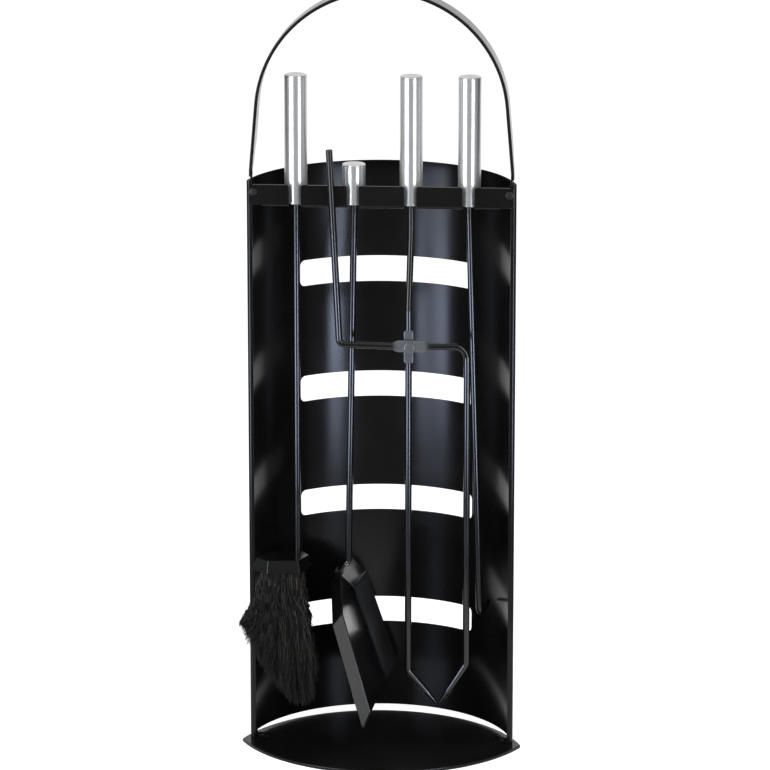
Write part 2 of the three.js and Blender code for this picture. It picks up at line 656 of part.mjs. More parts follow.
// A solid whose outline changes evenly from bottom to top, corner for corner.
function spreading(bottomPoints, topPoints, bottomZ, topZ) {
  const depth = topZ - bottomZ;
  const geometry = new THREE.ExtrudeGeometry(outline(bottomPoints), { depth, bevelEnabled: false });
  const position = geometry.attributes.position;
  for (let i = 0; i < position.count; i += 1) {
    if (position.getZ(i) > depth / 2) {
      let nearest = 0;
      let least = Infinity;
      bottomPoints.forEach(([x, y], k) => {
        const away = Math.hypot(position.getX(i) - x, position.getY(i) - y);
        if (away < least) {
          least = away;
          nearest = k;
        }
      });
      position.setXY(i, ...topPoints[nearest]);
    }
  }
  return solidOf(geometry.translate(0, 0, bottomZ));
}

function brushCap() {
  const flared = pushedOut(brushHead, [BRUSH_CAP_FLARE]);
  const inside = pushedOut(brushHead, [-BRUSH_CAP_SHEET]);
  const insideFlared = pushedOut(brushHead, [BRUSH_CAP_FLARE - BRUSH_CAP_SHEET]);
  const shell = spreading(flared, brushHead, brushCapBottomZ, BRUSH_CAP_TOP_Z);
  const slope = BRUSH_CAP_FLARE / BRUSH_CAP_HEIGHT;
  const below = pushedOut(insideFlared, [slope]);
  const hollow = spreading(below, inside, brushCapBottomZ - 1, BRUSH_CAP_TOP_Z - BRUSH_CAP_SHEET);
  const rod = circleShape(bore(ROD_DIAMETER), BRUSH_X, TOOL_Y);
  return shell.subtract(hollow).subtract(raised(rod, brushCapBottomZ, BRUSH_CAP_TOP_Z + 1, 10));
}

function brushRod() {
  return rodAlong([at(BRUSH_X, TOOL_Y, rodTopZ), at(BRUSH_X, TOOL_Y, brushRodBottomZ)], []);
}

// The tuft hangs and sweeps to the left: every strand runs from its root through a shoulder
// point to its tip, and the three levels are the same field of points, drawn apart.
const slabTopZ = BRUSH_CAP_TOP_Z - BRUSH_CAP_SHEET - FIT_GAP;
const slabBottomZ = slabTopZ - BRISTLE_SLAB_HEIGHT;
const brushRodBottomZ = slabBottomZ + 1.3;
const slabOutline = pushedOut(brushHead, [-(BRUSH_CAP_SHEET + FIT_GAP)]);
const rootOutline = pushedOut(slabOutline, [-BRISTLE_INSET]);
const rootLeftX = Math.min(...rootOutline.map(([x]) => x)) + BRISTLE_LEFT_INSET;
const rootRightX = Math.max(...rootOutline.map(([x]) => x)) - BRISTLE_RIGHT_INSET;
const mix = THREE.MathUtils.lerp;

// The front and back of a closed outline at one X.
function spanAt(points, x) {
  const crossings = [];
  points.forEach(([x0, y0], i) => {
    const [x1, y1] = points[(i + 1) % points.length];
    if ((x0 - x) * (x1 - x) < 0) crossings.push(mix(y0, y1, (x - x0) / (x1 - x0)));
  });
  return [Math.min(...crossings), Math.max(...crossings)];
}

// The edge that the strands' tips reach, from the left-hand bulge round the bottom to the right.
const tipEdge = new THREE.CatmullRomCurve3([
  at(-126.5, -12, 118), at(-115.5, -12, 97), at(-103, -11, 77), at(-89, -9, 56),
  at(-74.5, -7, 44), at(-62, -5, 49), at(-55.5, -4, 74),
]);
const tuftShoulder = { leftX: -109, rightX: -66, leftZ: 140, rightZ: 132 };
const tuftMiddleY = [-12, -4];  // of the shoulder and tip levels, left and right
const tuftHalfDepth = [8, 11.5];

function strand(across, back, trim) {
  const rootX = mix(rootLeftX, rootRightX, across);
  const [frontY, backY] = spanAt(rootOutline, rootX);
  const middleY = mix(...tuftMiddleY, across);
  const sweepY = middleY + back * mix(...tuftHalfDepth, across);
  const root = at(rootX, mix(frontY, backY, (back + 1) / 2), slabBottomZ + 0.4);
  const shoulder = at(
    mix(tuftShoulder.leftX, tuftShoulder.rightX, across), sweepY,
    mix(tuftShoulder.leftZ, tuftShoulder.rightZ, across));
  const tip = tipEdge.getPoint(across);
  tip.y = sweepY + (tip.y - middleY) * 0.5;
  tip.lerp(shoulder, trim);
  return [root, shoulder, tip];
}

// Closed strands of three flats, each drawn to a point, in one geometry.
function strandsSolid(strands) {
  const vertices = [];
  const faces = [];
  for (const [root, shoulder, tip] of strands) {
    const first = vertices.length / 3;
    for (const [centre, radius] of [[root, BRISTLE_ROOT_RADIUS], [shoulder, BRISTLE_SHOULDER_RADIUS]]) {
      for (let k = 0; k < BRISTLE_SIDES; k += 1) {
        const angle = (2 * Math.PI * k) / BRISTLE_SIDES;
        vertices.push(centre.x + radius * Math.cos(angle), centre.y + radius * Math.sin(angle), centre.z);
      }
    }
    vertices.push(tip.x, tip.y, tip.z);
    const apex = first + 2 * BRISTLE_SIDES;
    for (let k = 0; k < BRISTLE_SIDES; k += 1) {
      const next = (k + 1) % BRISTLE_SIDES;
      const [rootA, rootB] = [first + k, first + next];
      const [lowA, lowB] = [rootA + BRISTLE_SIDES, rootB + BRISTLE_SIDES];
      faces.push(rootA, lowB, rootB, rootA, lowA, lowB, lowA, apex, lowB);
      if (k > 0 && k < BRISTLE_SIDES - 1) faces.push(first, first + k, first + next);
    }
  }
  const geometry = new THREE.BufferGeometry();
  geometry.setAttribute('position', new THREE.Float32BufferAttribute(vertices, 3));
  geometry.setIndex(faces);
  return solidOf(geometry);
}

function bristleSlice(slice) {
  const columns = BRISTLE_SLICES * BRISTLE_COLUMNS;
  const strands = [];
  for (let i = slice * BRISTLE_COLUMNS; i < (slice + 1) * BRISTLE_COLUMNS; i += 1) {
    for (let j = 0; j < BRISTLE_ROWS; j += 1) {
      const back = (2 * (j + 0.5)) / BRISTLE_ROWS - 1;
      const trim = 0.06 * (1 + Math.sin(7 * i + 5 * j));
      strands.push(strand((i + 0.5) / columns, back, trim));
    }
  }
  const reach = STAND_RADIUS;
  const border = (k) => mix(rootLeftX, rootRightX, k / BRISTLE_SLICES);
  const leftX = slice === 0 ? -reach : border(slice) + FIT_GAP / 2;
  const rightX = slice === BRISTLE_SLICES - 1 ? 0 : border(slice + 1) - FIT_GAP / 2;
  const block = raised(outline(slabOutline), slabBottomZ, slabTopZ);
  const part = block.intersect(box(leftX, rightX, -reach, reach, slabBottomZ - 1, slabTopZ + 1));
  const rod = circleShape(bore(ROD_DIAMETER), BRUSH_X, TOOL_Y);
  const rodHole = raised(rod, brushRodBottomZ - FIT_GAP, slabTopZ + 1, 10);
  return part.subtract(rodHole).add(strandsSolid(strands));
}

function brushMeshes() {
  const meshes = [
    meshOf('brush_rod', brushRod(), satinBlack),
    meshOf('brush_cap', brushCap(), satinBlack),
  ];
  for (let i = 0; i < BRISTLE_SLICES; i += 1) {
    meshes.push(meshOf(`brush_bristles_${i + 1}`, bristleSlice(i), darkFibre));
  }
  return meshes;
}

// ---------------------------------------------------------------- shovel
// The pan is drawn flat: X runs from its shoulders down to its lip, Y across it and Z out of it.
const panFrame = new THREE.Group();
panFrame.position.copy(PAN_TOP);
panFrame.rotation.set(0, Math.PI / 2 - degrees(PAN_TILT), -degrees(PAN_YAW), 'ZYX');

// On the heel wall: X runs down the wall, Z stands out of its inner face, and the rivet is at 0.
const heelFrame = new THREE.Group();
const heelLean = PAN_SIDE_FLARE / PAN_WALL_HEIGHT;
heelFrame.position.set(-PAN_HEEL_LENGTH - heelLean * SHOVEL_RIVET_HEIGHT, 0, SHOVEL_RIVET_HEIGHT);
heelFrame.rotation.y = Math.atan2(PAN_WALL_HEIGHT, PAN_SIDE_FLARE);
panFrame.add(heelFrame);
panFrame.updateMatrixWorld(true);

function raisedIn(matrix, shape, low, high) {
  const geometry = new THREE.ExtrudeGeometry(shape, { depth: high - low, bevelEnabled: false });
  return solidOf(geometry.translate(0, 0, low).applyMatrix4(matrix));
}

function shovelPan() {
  const top = PAN_TOP_WIDTH / 2;
  const heel = PAN_HEEL_WIDTH / 2;
  const height = PAN_WALL_HEIGHT;
  const run = 1.2 * PAN_LENGTH;   // past the lip, where walls and floor are trimmed
  const end = top + ((PAN_LIP_WIDTH / 2 - top) * run) / PAN_LENGTH;
  const floor = [
    [-PAN_HEEL_LENGTH, -heel], [0, -top], [run, -end], [run, end], [0, top], [-PAN_HEEL_LENGTH, heel],
  ];
  const flares = [PAN_SHOULDER_FLARE, PAN_SIDE_FLARE, 0, PAN_SIDE_FLARE, PAN_SHOULDER_FLARE, PAN_SIDE_FLARE];
  const inside = (z) => pushedOut(floor, flares.map((flare) => (flare * z) / height));
  const outside = (z) => pushedOut(floor, flares.map(
    (flare) => (flare * z + SHEET * Math.hypot(height, flare)) / height));
  const over = height + 1;
  const outer = spreading(outside(-SHEET), outside(height), -SHEET, height);
  const inner = spreading(inside(0), inside(over), 0, over);
  const slant = (PAN_LENGTH - PAN_WALL_END) / height;
  const high = 2 * height;
  const trim = outline([
    [PAN_LENGTH, -2 * SHEET], [2 * run, -2 * SHEET], [2 * run, high],
    [PAN_LENGTH - slant * high, high], [PAN_LENGTH, 0],
  ]);
  const rivet = raisedIn(heelFrame.matrix, regularOutline(bore(SHOVEL_RIVET), 12), -3 * SHEET, 3 * SHEET);
  return outer.subtract(inner).subtract(carriedBack(trim, -PAN_LIP_WIDTH, PAN_LIP_WIDTH)).subtract(rivet);
}

// The rod comes over the heel wall's top edge and ends in a flat tab that lies down its inner face.
function shovelRod() {
  const wallAboveRivet = (PAN_WALL_HEIGHT - SHOVEL_RIVET_HEIGHT) * Math.hypot(1, heelLean);
  const bendX = -(wallAboveRivet + SHOVEL_TAB_RISE);
  const tabMiddle = FIT_GAP + SHOVEL_TAB_THICKNESS / 2;
  const inWorld = (x) => at(x, 0, tabMiddle).applyMatrix4(heelFrame.matrixWorld);
  const corners = [
    at(SHOVEL_X, TOOL_Y, rodTopZ), at(SHOVEL_X, TOOL_Y, rodKneeZ),
    inWorld(bendX), inWorld(bendX + SHOVEL_TAB_RISE / 2),
  ];
  const rod = rodAlong(corners, [LEAN_BEND_RADIUS, SHOVEL_BEND_RADIUS]);
  const wide = SHOVEL_TAB_WIDTH / 2;
  const narrow = ROD_DIAMETER / 2;
  const corner = 2;               // taken off the tab's end
  const tab = outline([
    [bendX, -narrow], [bendX + SHOVEL_TAB_TAPER, -wide], [SHOVEL_TAB_END - corner, -wide],
    [SHOVEL_TAB_END, -wide + corner], [SHOVEL_TAB_END, wide - corner], [SHOVEL_TAB_END - corner, wide],
    [bendX + SHOVEL_TAB_TAPER, wide], [bendX, narrow],
  ]);
  const rivet = regularOutline(bore(SHOVEL_RIVET), 12);
  return rod.add(raisedIn(heelFrame.matrixWorld, tab, FIT_GAP, FIT_GAP + SHOVEL_TAB_THICKNESS))
    .subtract(raisedIn(heelFrame.matrixWorld, rivet, -1, 2 * SHOVEL_TAB_THICKNESS));
}

function shovelRivet() {
  const shank = SHOVEL_RIVET / 2;
  const head = SHOVEL_RIVET_HEAD / 2;
  const low = -SHEET - FIT_GAP;
  const high = SHOVEL_TAB_THICKNESS + 2 * FIT_GAP;
  const rise = SHOVEL_RIVET_HEAD_HEIGHT;
  return turned([
    [0, low - rise], [head * 0.6, low - rise], [head, low], [shank, low],
    [shank, high], [head, high], [head * 0.6, high + rise], [0, high + rise],
  ], 12);
}

function shovelGroup() {
  heelFrame.add(meshOf('shovel_rivet', shovelRivet(), zincScrew));
  panFrame.add(meshOf('shovel_pan', shovelPan(), satinBlack));
  return [meshOf('shovel_rod', shovelRod(), satinBlack), panFrame];
}

// ---------------------------------------------------------------- tongs
// The lever crosses in front of the main rod at the pivot: the rod is flattened to a block there,
// the lever to an eye, and one rivet goes through both. Their tips are set to the same depth.
const blockY = LEVER_Y + LEVER_EYE_THICKNESS / 2 + FIT_GAP + TONGS_BLOCK_THICKNESS / 2;
const tipY = (LEVER_Y + blockY) / 2;
const pivotHole = () => circleShape(bore(PIVOT_RIVET), PIVOT_X, PIVOT_Z);

function tongsTip(bend, side) {
  const tip = at(TONGS_TIP[0] + side * (TONGS_TIP_RADIUS + FIT_GAP / 2), tipY, TONGS_TIP[1]);
  const start = tip.clone().lerp(bend, TONGS_TIP_LENGTH / tip.distanceTo(bend));
  return [start, drawnTip(start, tip, TONGS_TIP_RADIUS)];
}

function tongsMainRod() {
  const half = TONGS_BLOCK_HEIGHT / 2;
  const lap = 2;                  // how far the round rod runs into the flattened block
  const blockTop = at(TONGS_BLOCK_X, blockY, PIVOT_Z + half - lap);
  const setTop = at(TONGS_X, TOOL_Y, RAIL_BOTTOM_Z - TONGS_SET_START);
  const setBottom = at(TONGS_BLOCK_X, blockY, RAIL_BOTTOM_Z - TONGS_SET_START - TONGS_SET_DROP);
  const upper = rodAlong(
    [at(TONGS_X, TOOL_Y, rodTopZ), setTop, setBottom, blockTop], [TONGS_SET_RADIUS, TONGS_SET_RADIUS]);
  const bend = at(TONGS_BLOCK_X, tipY, TONGS_LOW_BEND_Z);
  const [tipStart, tip] = tongsTip(bend, -1);
  const blockBottom = at(TONGS_BLOCK_X, blockY, PIVOT_Z - half + lap);
  const lower = rodAlong([blockBottom, bend, tipStart], [TONGS_LOW_BEND_RADIUS]);
  const plate = roundedRectangle(TONGS_BLOCK_WIDTH, TONGS_BLOCK_HEIGHT, 2, TONGS_BLOCK_X, PIVOT_Z);
  const front = blockY - TONGS_BLOCK_THICKNESS / 2;
  const back = blockY + TONGS_BLOCK_THICKNESS / 2;
  return carriedBack(plate, front, back, 3).add(upper).add(lower).add(tip)
    .subtract(carriedBack(pivotHole(), front - 1, back + 1, 6));
}

function tongsLever() {
  const half = LEVER_EYE_LENGTH / 2;
  const lap = 4;                  // how far the round rod runs into the flattened eye
  const armZ = LEVER_LEFT_CORNER[1];
  const left = rodAlong([
    at(LEVER_TOP[0], LEVER_Y, LEVER_TOP[1]), at(LEVER_LEFT_CORNER[0], LEVER_Y, armZ),
    at(LEVER_EYE_X - half + lap, LEVER_Y, armZ),
  ], [LEVER_LEFT_RADIUS]);
  const bend = at(TONGS_ARM_X, tipY, TONGS_ARM_BEND_Z);
  const [tipStart, tip] = tongsTip(bend, 1);
  const right = rodAlong([
    at(LEVER_EYE_X + half - lap, LEVER_Y, armZ), at(LEVER_RIGHT_CORNER[0], LEVER_Y, LEVER_RIGHT_CORNER[1]),
    bend, tipStart,
  ], [LEVER_RIGHT_RADIUS, TONGS_LOW_BEND_RADIUS]);
  const front = LEVER_Y - LEVER_EYE_THICKNESS / 2;
  const back = LEVER_Y + LEVER_EYE_THICKNESS / 2;
  const eye = roundedRectangle(
    LEVER_EYE_LENGTH, LEVER_EYE_HEIGHT, LEVER_EYE_HEIGHT / 2 - 0.5, LEVER_EYE_X, (PIVOT_Z + armZ) / 2);
  return carriedBack(eye, front, back, 5).add(left).add(right).add(tip)
    .subtract(carriedBack(pivotHole(), front - 1, back + 1, 6));
}

// The rivet lies along Y, with its larger head in front of the eye.
function pivotRivet() {
  const shank = PIVOT_RIVET / 2;
  const head = PIVOT_HEAD / 2;
  const front = LEVER_Y - LEVER_EYE_THICKNESS / 2 - FIT_GAP;
  const back = blockY + TONGS_BLOCK_THICKNESS / 2 + FIT_GAP;
  return turned([
    [0, front - PIVOT_HEAD_HEIGHT], [head * 0.5, front - PIVOT_HEAD_HEIGHT * 0.9],
    [head * 0.87, front - PIVOT_HEAD_HEIGHT * 0.5], [head, front], [shank, front], [shank, back],
    [head * 0.8, back], [head * 0.6, back + PIVOT_BACK_HEIGHT], [0, back + PIVOT_BACK_HEIGHT],
  ], 16, true);
}

// ---------------------------------------------------------------- poker
function pokerRod() {
  const corners = [at(POKER_X, TOOL_Y, rodTopZ), at(POKER_X, TOOL_Y, rodKneeZ), POKER_BOTTOM, POKER_HOOK];
  const tipShare = POKER_TIP_LENGTH / POKER_HOOK.distanceTo(POKER_BOTTOM);
  const tipStart = POKER_HOOK.clone().lerp(POKER_BOTTOM, tipShare);
  corners[3] = tipStart;
  return rodAlong(corners, [LEAN_BEND_RADIUS, POKER_BEND_RADIUS])
    .add(drawnTip(tipStart, POKER_HOOK, POKER_TIP_RADIUS));
}

// ---------------------------------------------------------------- assembly
const stand = new THREE.Group();
stand.add(
  meshOf('base_plate', basePlate(), glossBlack),
  meshOf('back_stand', backStand(), glossBlack),
  meshOf('tool_rail', toolRail(), glossBlack),
  meshOf('carry_hoop', carryHoop(), satinBlack),
  ...fastenerMeshes(),
);

const brush = new THREE.Group();
brush.add(...gripMeshes('brush', BRUSH_X, GRIP_LENGTH), ...brushMeshes());

const shovel = new THREE.Group();
shovel.add(...gripMeshes('shovel', SHOVEL_X, SHOVEL_GRIP_LENGTH), ...shovelGroup());

const tongs = new THREE.Group();
tongs.add(
  ...gripMeshes('tongs', TONGS_X, GRIP_LENGTH),
  meshOf('tongs_main_rod', tongsMainRod(), satinBlack),
  meshOf('tongs_lever', tongsLever(), satinBlack),
  meshOf('tongs_pivot_rivet', pivotRivet(), zincScrew, PIVOT_X, 0, PIVOT_Z),
);

const poker = new THREE.Group();
poker.add(...gripMeshes('poker', POKER_X, GRIP_LENGTH), meshOf('poker_rod', pokerRod(), satinBlack));

const toolSet = new THREE.Group();
toolSet.add(stand, brush, shovel, tongs, poker);
export default toolSet;
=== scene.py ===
import math
import random

import bmesh
import bpy
from mathutils import Matrix, Vector


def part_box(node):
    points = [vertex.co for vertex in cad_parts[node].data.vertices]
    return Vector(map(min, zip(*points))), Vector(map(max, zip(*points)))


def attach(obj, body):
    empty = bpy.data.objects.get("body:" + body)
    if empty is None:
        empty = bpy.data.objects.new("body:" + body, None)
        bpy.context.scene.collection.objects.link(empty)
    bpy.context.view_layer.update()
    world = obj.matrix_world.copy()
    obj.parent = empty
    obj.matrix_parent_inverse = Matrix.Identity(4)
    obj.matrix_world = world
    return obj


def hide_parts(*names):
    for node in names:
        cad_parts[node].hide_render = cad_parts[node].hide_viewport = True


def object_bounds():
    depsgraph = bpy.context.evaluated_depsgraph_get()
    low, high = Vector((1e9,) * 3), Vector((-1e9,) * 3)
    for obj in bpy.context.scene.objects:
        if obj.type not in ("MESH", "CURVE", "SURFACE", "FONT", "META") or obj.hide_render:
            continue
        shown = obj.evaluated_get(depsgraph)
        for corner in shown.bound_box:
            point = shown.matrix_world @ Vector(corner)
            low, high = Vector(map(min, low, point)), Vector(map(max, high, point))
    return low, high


bl_info = {
    "name": "Fireplace tool set",
    "version": (1, 0, 0),
    "blender": (4, 5, 0),
    "location": "3D View > Sidebar > Fireplace set",
    "description": "Builds the finished pieces of a hanging fireplace tool set round its frame",
    "category": "Object",
}

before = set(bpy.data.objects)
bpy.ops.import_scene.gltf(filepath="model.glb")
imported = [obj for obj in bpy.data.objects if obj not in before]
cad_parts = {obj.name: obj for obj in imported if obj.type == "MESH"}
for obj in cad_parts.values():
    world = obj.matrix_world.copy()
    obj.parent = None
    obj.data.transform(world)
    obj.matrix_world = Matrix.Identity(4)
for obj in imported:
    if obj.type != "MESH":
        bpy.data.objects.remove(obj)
CAD_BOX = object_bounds()
MM = 0.001

# ------------------------------------------------------------------ sizes shared by the pieces, in metres
STAND_RADIUS = 120.6 * MM       # outside of the curved wall
STAND_CENTRE_Y = -25 * MM
STAND_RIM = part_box("back_stand")[1].z
STAND_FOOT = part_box("back_stand")[0].z
STAND_WALL_BOTTOM = STAND_FOOT + 3 * MM
STAND_FOLD_RADIUS = 2.25 * MM   # middle of the sheet
STAND_FLANGE_X = 112 * MM
EAR_X = 104 * MM
EAR_BOTTOM, EAR_TOP = 492 * MM, 508 * MM
FOOT_REACH_Y = 16 * MM
FOOT_INNER_X, FOOT_OUTER_X = 101 * MM, 113.9 * MM
FOOT_FRONT_Y, FOOT_BACK_Y = 3 * MM, 14 * MM
SLOT_CENTRES = [(97.1 + 105.8 * i) * MM for i in range(4)]
SLOT_HALF_WIDTH = 76.8 * MM
SLOT_HALF_HEIGHT = 11.65 * MM
RAIL_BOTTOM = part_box("tool_rail")[0].z
RAIL_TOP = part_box("tool_rail")[1].z
RAIL_HALF_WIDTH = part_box("tool_rail")[1].x
SHELF_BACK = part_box("tool_rail")[1].y
SHELF_HALF_WIDTH = 103.5 * MM
SHELF_START = 1.5 * MM          # where the rail's bend has become flat
SHELF_TOP = RAIL_BOTTOM + 2 * MM
NOTCH_HALF_WIDTH = 5 * MM
TOOL_Y = 12 * MM
TOOL_X = {"brush": -75 * MM, "shovel": -24.5 * MM, "tongs": 25.3 * MM, "poker": 75.8 * MM}
ROD_TOP = SHELF_TOP + 13 * MM
ROD_KNEE = RAIL_BOTTOM - 6 * MM
BOLT_X, BOLT_Z = 111.3 * MM, RAIL_BOTTOM + 13.6 * MM
SCREW_X, SCREW_Y = 108.5 * MM, 8.5 * MM
SCREW_HEAD, SCREW_SHANK = 3.5 * MM, 1.4 * MM    # radii
SCREW_DOME, SCREW_RIM = 1.2 * MM, 0.35 * MM     # heights
SOCKET_RADIUS, SOCKET_WALL, SOCKET_DEPTH = 1.05 * MM, 0.16 * MM, 0.11 * MM
NUT_FLATS, NUT_THICKNESS = 5.5 * MM, 2.4 * MM
ROD_SIDES = 24
PIVOT = Vector((25 * MM, -7.5 * MM, 368 * MM))


# ------------------------------------------------------------------ settings
def linear(hex_colour):
    """A colour written as sRGB hex, as the linear values that a shader takes."""
    values = [int(hex_colour[i:i + 2], 16) / 255 for i in (1, 3, 5)]
    return tuple(v / 12.92 if v <= 0.04045 else ((v + 0.055) / 1.055) ** 2.4 for v in values)


def colour(name, description, hex_colour):
    """A property that holds a colour."""
    return bpy.props.FloatVectorProperty(
        name=name, description=description, subtype="COLOR", size=3, min=0, max=1, default=linear(hex_colour))


def length(name, description, millimetres, low=0.0):
    """A property that holds a length, with its default and its lowest value in millimetres."""
    return bpy.props.FloatProperty(
        name=name, description=description, subtype="DISTANCE", unit="LENGTH",
        min=low * MM, default=millimetres * MM, precision=5)


def amount(name, description, default, unit="NONE"):
    """A property that holds a power, a brightness or a focal length."""
    return bpy.props.FloatProperty(name=name, description=description, unit=unit, min=0, default=default)


class FiresetSizes(bpy.types.PropertyGroup):
    """Sizes of sheet, rod and edges"""
    stand_sheet: length("Stand sheet", "Thickness of the stand's sheet", 1.5, 0.5)
    rail_sheet: length("Rail sheet", "Thickness of the rail's sheet", 2.0, 0.5)
    hoop_strip: length("Hoop strip", "Thickness of the carrying hoop's strip", 3.0, 1)
    rod: length("Rod", "Diameter of the tools' rods", 6.0, 2)
    broken_edge: length("Broken edge", "Width of the rounding on cut sheet edges", 0.6, 0.05)
    slot_corner: length("Slot corner", "Radius of the wall slots' corners", 5.0, 0.5)


class FiresetTuft(bpy.types.PropertyGroup):
    """The brush's fibres"""
    strands: bpy.props.IntProperty(
        name="Strands", description="Fibres in each quarter of the tuft", min=50, max=2000, default=880)
    strand: length("Strand", "Diameter of a bundle of fibres at its root", 0.85, 0.2)
    crimp: length("Crimp", "How far a fibre waves to each side", 2.9)
    crimp_length: length("Crimp length", "Length of one wave", 15.0, 2)
    seed: bpy.props.IntProperty(name="Seed", description="Start of the fibres' own variation", default=7)


class FiresetColours(bpy.types.PropertyGroup):
    """Colours of the finishes"""
    enamel: colour("Enamel", "Gloss black of stand, rail and base", "#080606")
    # Painted reflection: the grey given to forged flats and the tongs' rivet head stands for the pale
    # surroundings that they mirror
    reflection_grey: colour("Thin paint", "Powder coat where a rod was forged flat", "#54575b")
    paint: colour("Paint", "Satin black of hoop, rods and pan", "#0b0b0b")
    steel: colour("Steel", "Brushed steel of the grips", "#cacac8")
    fastener: colour("Fasteners", "Blackened zinc of bolts, nuts and rivets", "#0a0a0b")
    bushing: colour("Bushing", "Black plastic inside the grips", "#191919")
    fibre: colour("Fibre", "The brush's darkest fibres", "#131110")
    fibre_tip: colour("Fibre light", "The brush's lightest fibres", "#46433e")


class FiresetStage(bpy.types.PropertyGroup):
    """Floor, lamps and camera"""
    floor: colour("Floor", "The pale floor", "#f2f2f2")
    key: amount("Key", "Power of the left soft lamp", 14, unit="POWER")
    fill: amount("Fill", "Power of the right soft lamp", 9, unit="POWER")
    top: amount("Top", "Power of the lamp overhead", 12, unit="POWER")
    left_card: amount("Left card", "Brightness of the low left card in reflections", 17)
    right_card: amount("Right card", "Brightness of the low right card in reflections", 30)
    high_cards: amount("High cards", "Brightness of both high cards in reflections", 8)
    screen: amount("Screen", "Brightness of the grey screen in reflections", 0.3)
    lens: amount("Lens", "The camera's focal length", 214, unit="CAMERA")


# ------------------------------------------------------------------ materials
def add_node(tree, kind, settings=None, links=None):
    """Adds one node, sets its own values and its sockets' values, and links its inputs."""
    node = tree.nodes.new(kind)
    for name, value in (settings or {}).items():
        if isinstance(name, str) and hasattr(node, name):
            setattr(node, name, value)
        else:
            node.inputs[name].default_value = value
    for name, source in (links or {}).items():
        tree.links.new(source, node.inputs[name])
    return node


def noise(size, detail=2.0, stretch=(1, 1, 1)):
    """A cloudy pattern with features about size metres across, drawn out along an axis of small stretch."""
    return tuple(s / size for s in stretch), detail


def surface(name, settings, tint, gloss, relief):
    """A Principled material whose colour, roughness and relief each follow a pattern: noise, or a vertex
    attribute by its name. tint is a pattern, the values where it reaches the first colour and the second, and
    the colours; gloss is the same with two roughnesses; relief is a pattern, its strength and its height."""
    material = bpy.data.materials.new(name)
    material.use_nodes = True
    tree = material.node_tree
    shader = tree.nodes["Principled BSDF"]
    for socket, value in settings.items():
        shader.inputs[socket].default_value = value
    place = add_node(tree, "ShaderNodeTexCoord").outputs["Object"]
    drawn = {}
    for pattern in dict.fromkeys((tint[0], gloss[0], relief[0])):
        if isinstance(pattern, str):
            node = add_node(tree, "ShaderNodeAttribute", {"attribute_name": pattern})
        else:
            scale, detail = pattern
            mapping = add_node(tree, "ShaderNodeMapping", {"Scale": scale}, {"Vector": place})
            node = add_node(tree, "ShaderNodeTexNoise", {"Scale": 1.0, "Detail": detail},
                            {"Vector": mapping.outputs["Vector"]})
        drawn[pattern] = node.outputs["Fac"]

    pattern, low, high, first, second = tint
    share = add_node(tree, "ShaderNodeMapRange", {"From Min": low, "From Max": high},
                     {"Value": drawn[pattern]})
    mix = add_node(tree, "ShaderNodeMix", {"data_type": "RGBA", "A": (*first, 1), "B": (*second, 1)},
                   {"Factor": share.outputs["Result"]})
    tree.links.new(mix.outputs["Result"], shader.inputs["Base Color"])

    pattern, low, high, first, second = gloss
    rough = add_node(tree, "ShaderNodeMapRange", {
        "From Min": low, "From Max": high, "To Min": first, "To Max": second}, {"Value": drawn[pattern]})
    tree.links.new(rough.outputs["Result"], shader.inputs["Roughness"])

    pattern, strength, height = relief
    bump = add_node(tree, "ShaderNodeBump", {"Strength": strength, "Distance": height},
                    {"Height": drawn[pattern]})
    tree.links.new(bump.outputs["Normal"], shader.inputs["Normal"])
    return material


def lightened(colour_values, share):
    """A colour taken a share of the way to white."""
    return tuple(c + (1 - c) * share for c in colour_values)


def gloss_enamel(colours):
    """Stove enamel sprayed on sheet steel: deep gloss over a faint orange peel, with a little dust on it."""
    peel, dust = noise(5 * MM, 1), noise(60 * MM, 3)
    return surface(
        "gloss_black_enamel", {"Specular IOR Level": 0.17},
        tint=(dust, 0, 1, colours.enamel, lightened(colours.enamel, 0.006)),
        gloss=(dust, 0.3, 0.7, 0.17, 0.22), relief=(peel, 0.05, 0.1 * MM))


def satin_paint(colours):
    """Black powder coat on rod and strip: a fine even texture that softens every highlight, and a painted
    reflection on forged flats, where a grey colour stands for the pale surroundings that the flat faces
    mirror."""
    texture, cloud = noise(0.9 * MM), noise(30 * MM)
    return surface(
        "satin_black_powder_coat", {"Specular IOR Level": 0.42},
        # The second colour is a painted reflection, laid on the flats that the vertex attribute marks
        tint=("painted_reflection", 0, 1, colours.paint, colours.reflection_grey),
        gloss=(cloud, 0.3, 0.7, 0.15, 0.21), relief=(texture, 0.04, 0.04 * MM))


def brushed_steel(colours):
    """Stainless tube brushed on the lathe: fine rings run round it, so a highlight is drawn out up and down
    and stays sharp-sided. The rings are 0.6 mm apart, coarser than the real ones, so that they show."""
    rings, blotch = noise(0.6 * MM, stretch=(0.004, 0.004, 1)), noise(25 * MM, 1)
    return surface(
        "brushed_stainless_steel", {"Metallic": 0.76, "Anisotropic": 0.7, "Anisotropic Rotation": 0.25},
        tint=(rings, 0, 1, tuple(c * 0.9 for c in colours.steel), lightened(colours.steel, 0.06)),
        gloss=(blotch, 0.3, 0.7, 0.29, 0.33), relief=(rings, 0.04, 0.01 * MM))


def black_zinc(colours):
    """Blackened zinc on turned fasteners: dark metal with a dull, slightly patchy shine."""
    patch = noise(1.6 * MM)
    return surface(
        "black_zinc_plate", {"Metallic": 0.85},
        tint=(patch, 0, 1, colours.fastener, lightened(colours.fastener, 0.03)),
        gloss=(patch, 0.3, 0.7, 0.42, 0.55), relief=(patch, 0.08, 0.02 * MM))


def moulded_nylon(colours):
    """Moulded black nylon: matt, with a faint spark-eroded texture."""
    texture = noise(0.7 * MM)
    return surface(
        "moulded_black_nylon", {}, tint=(texture, 0, 1, colours.bushing, lightened(colours.bushing, 0.01)),
        gloss=(texture, 0.3, 0.7, 0.5, 0.62), relief=(texture, 0.1, 0.05 * MM))


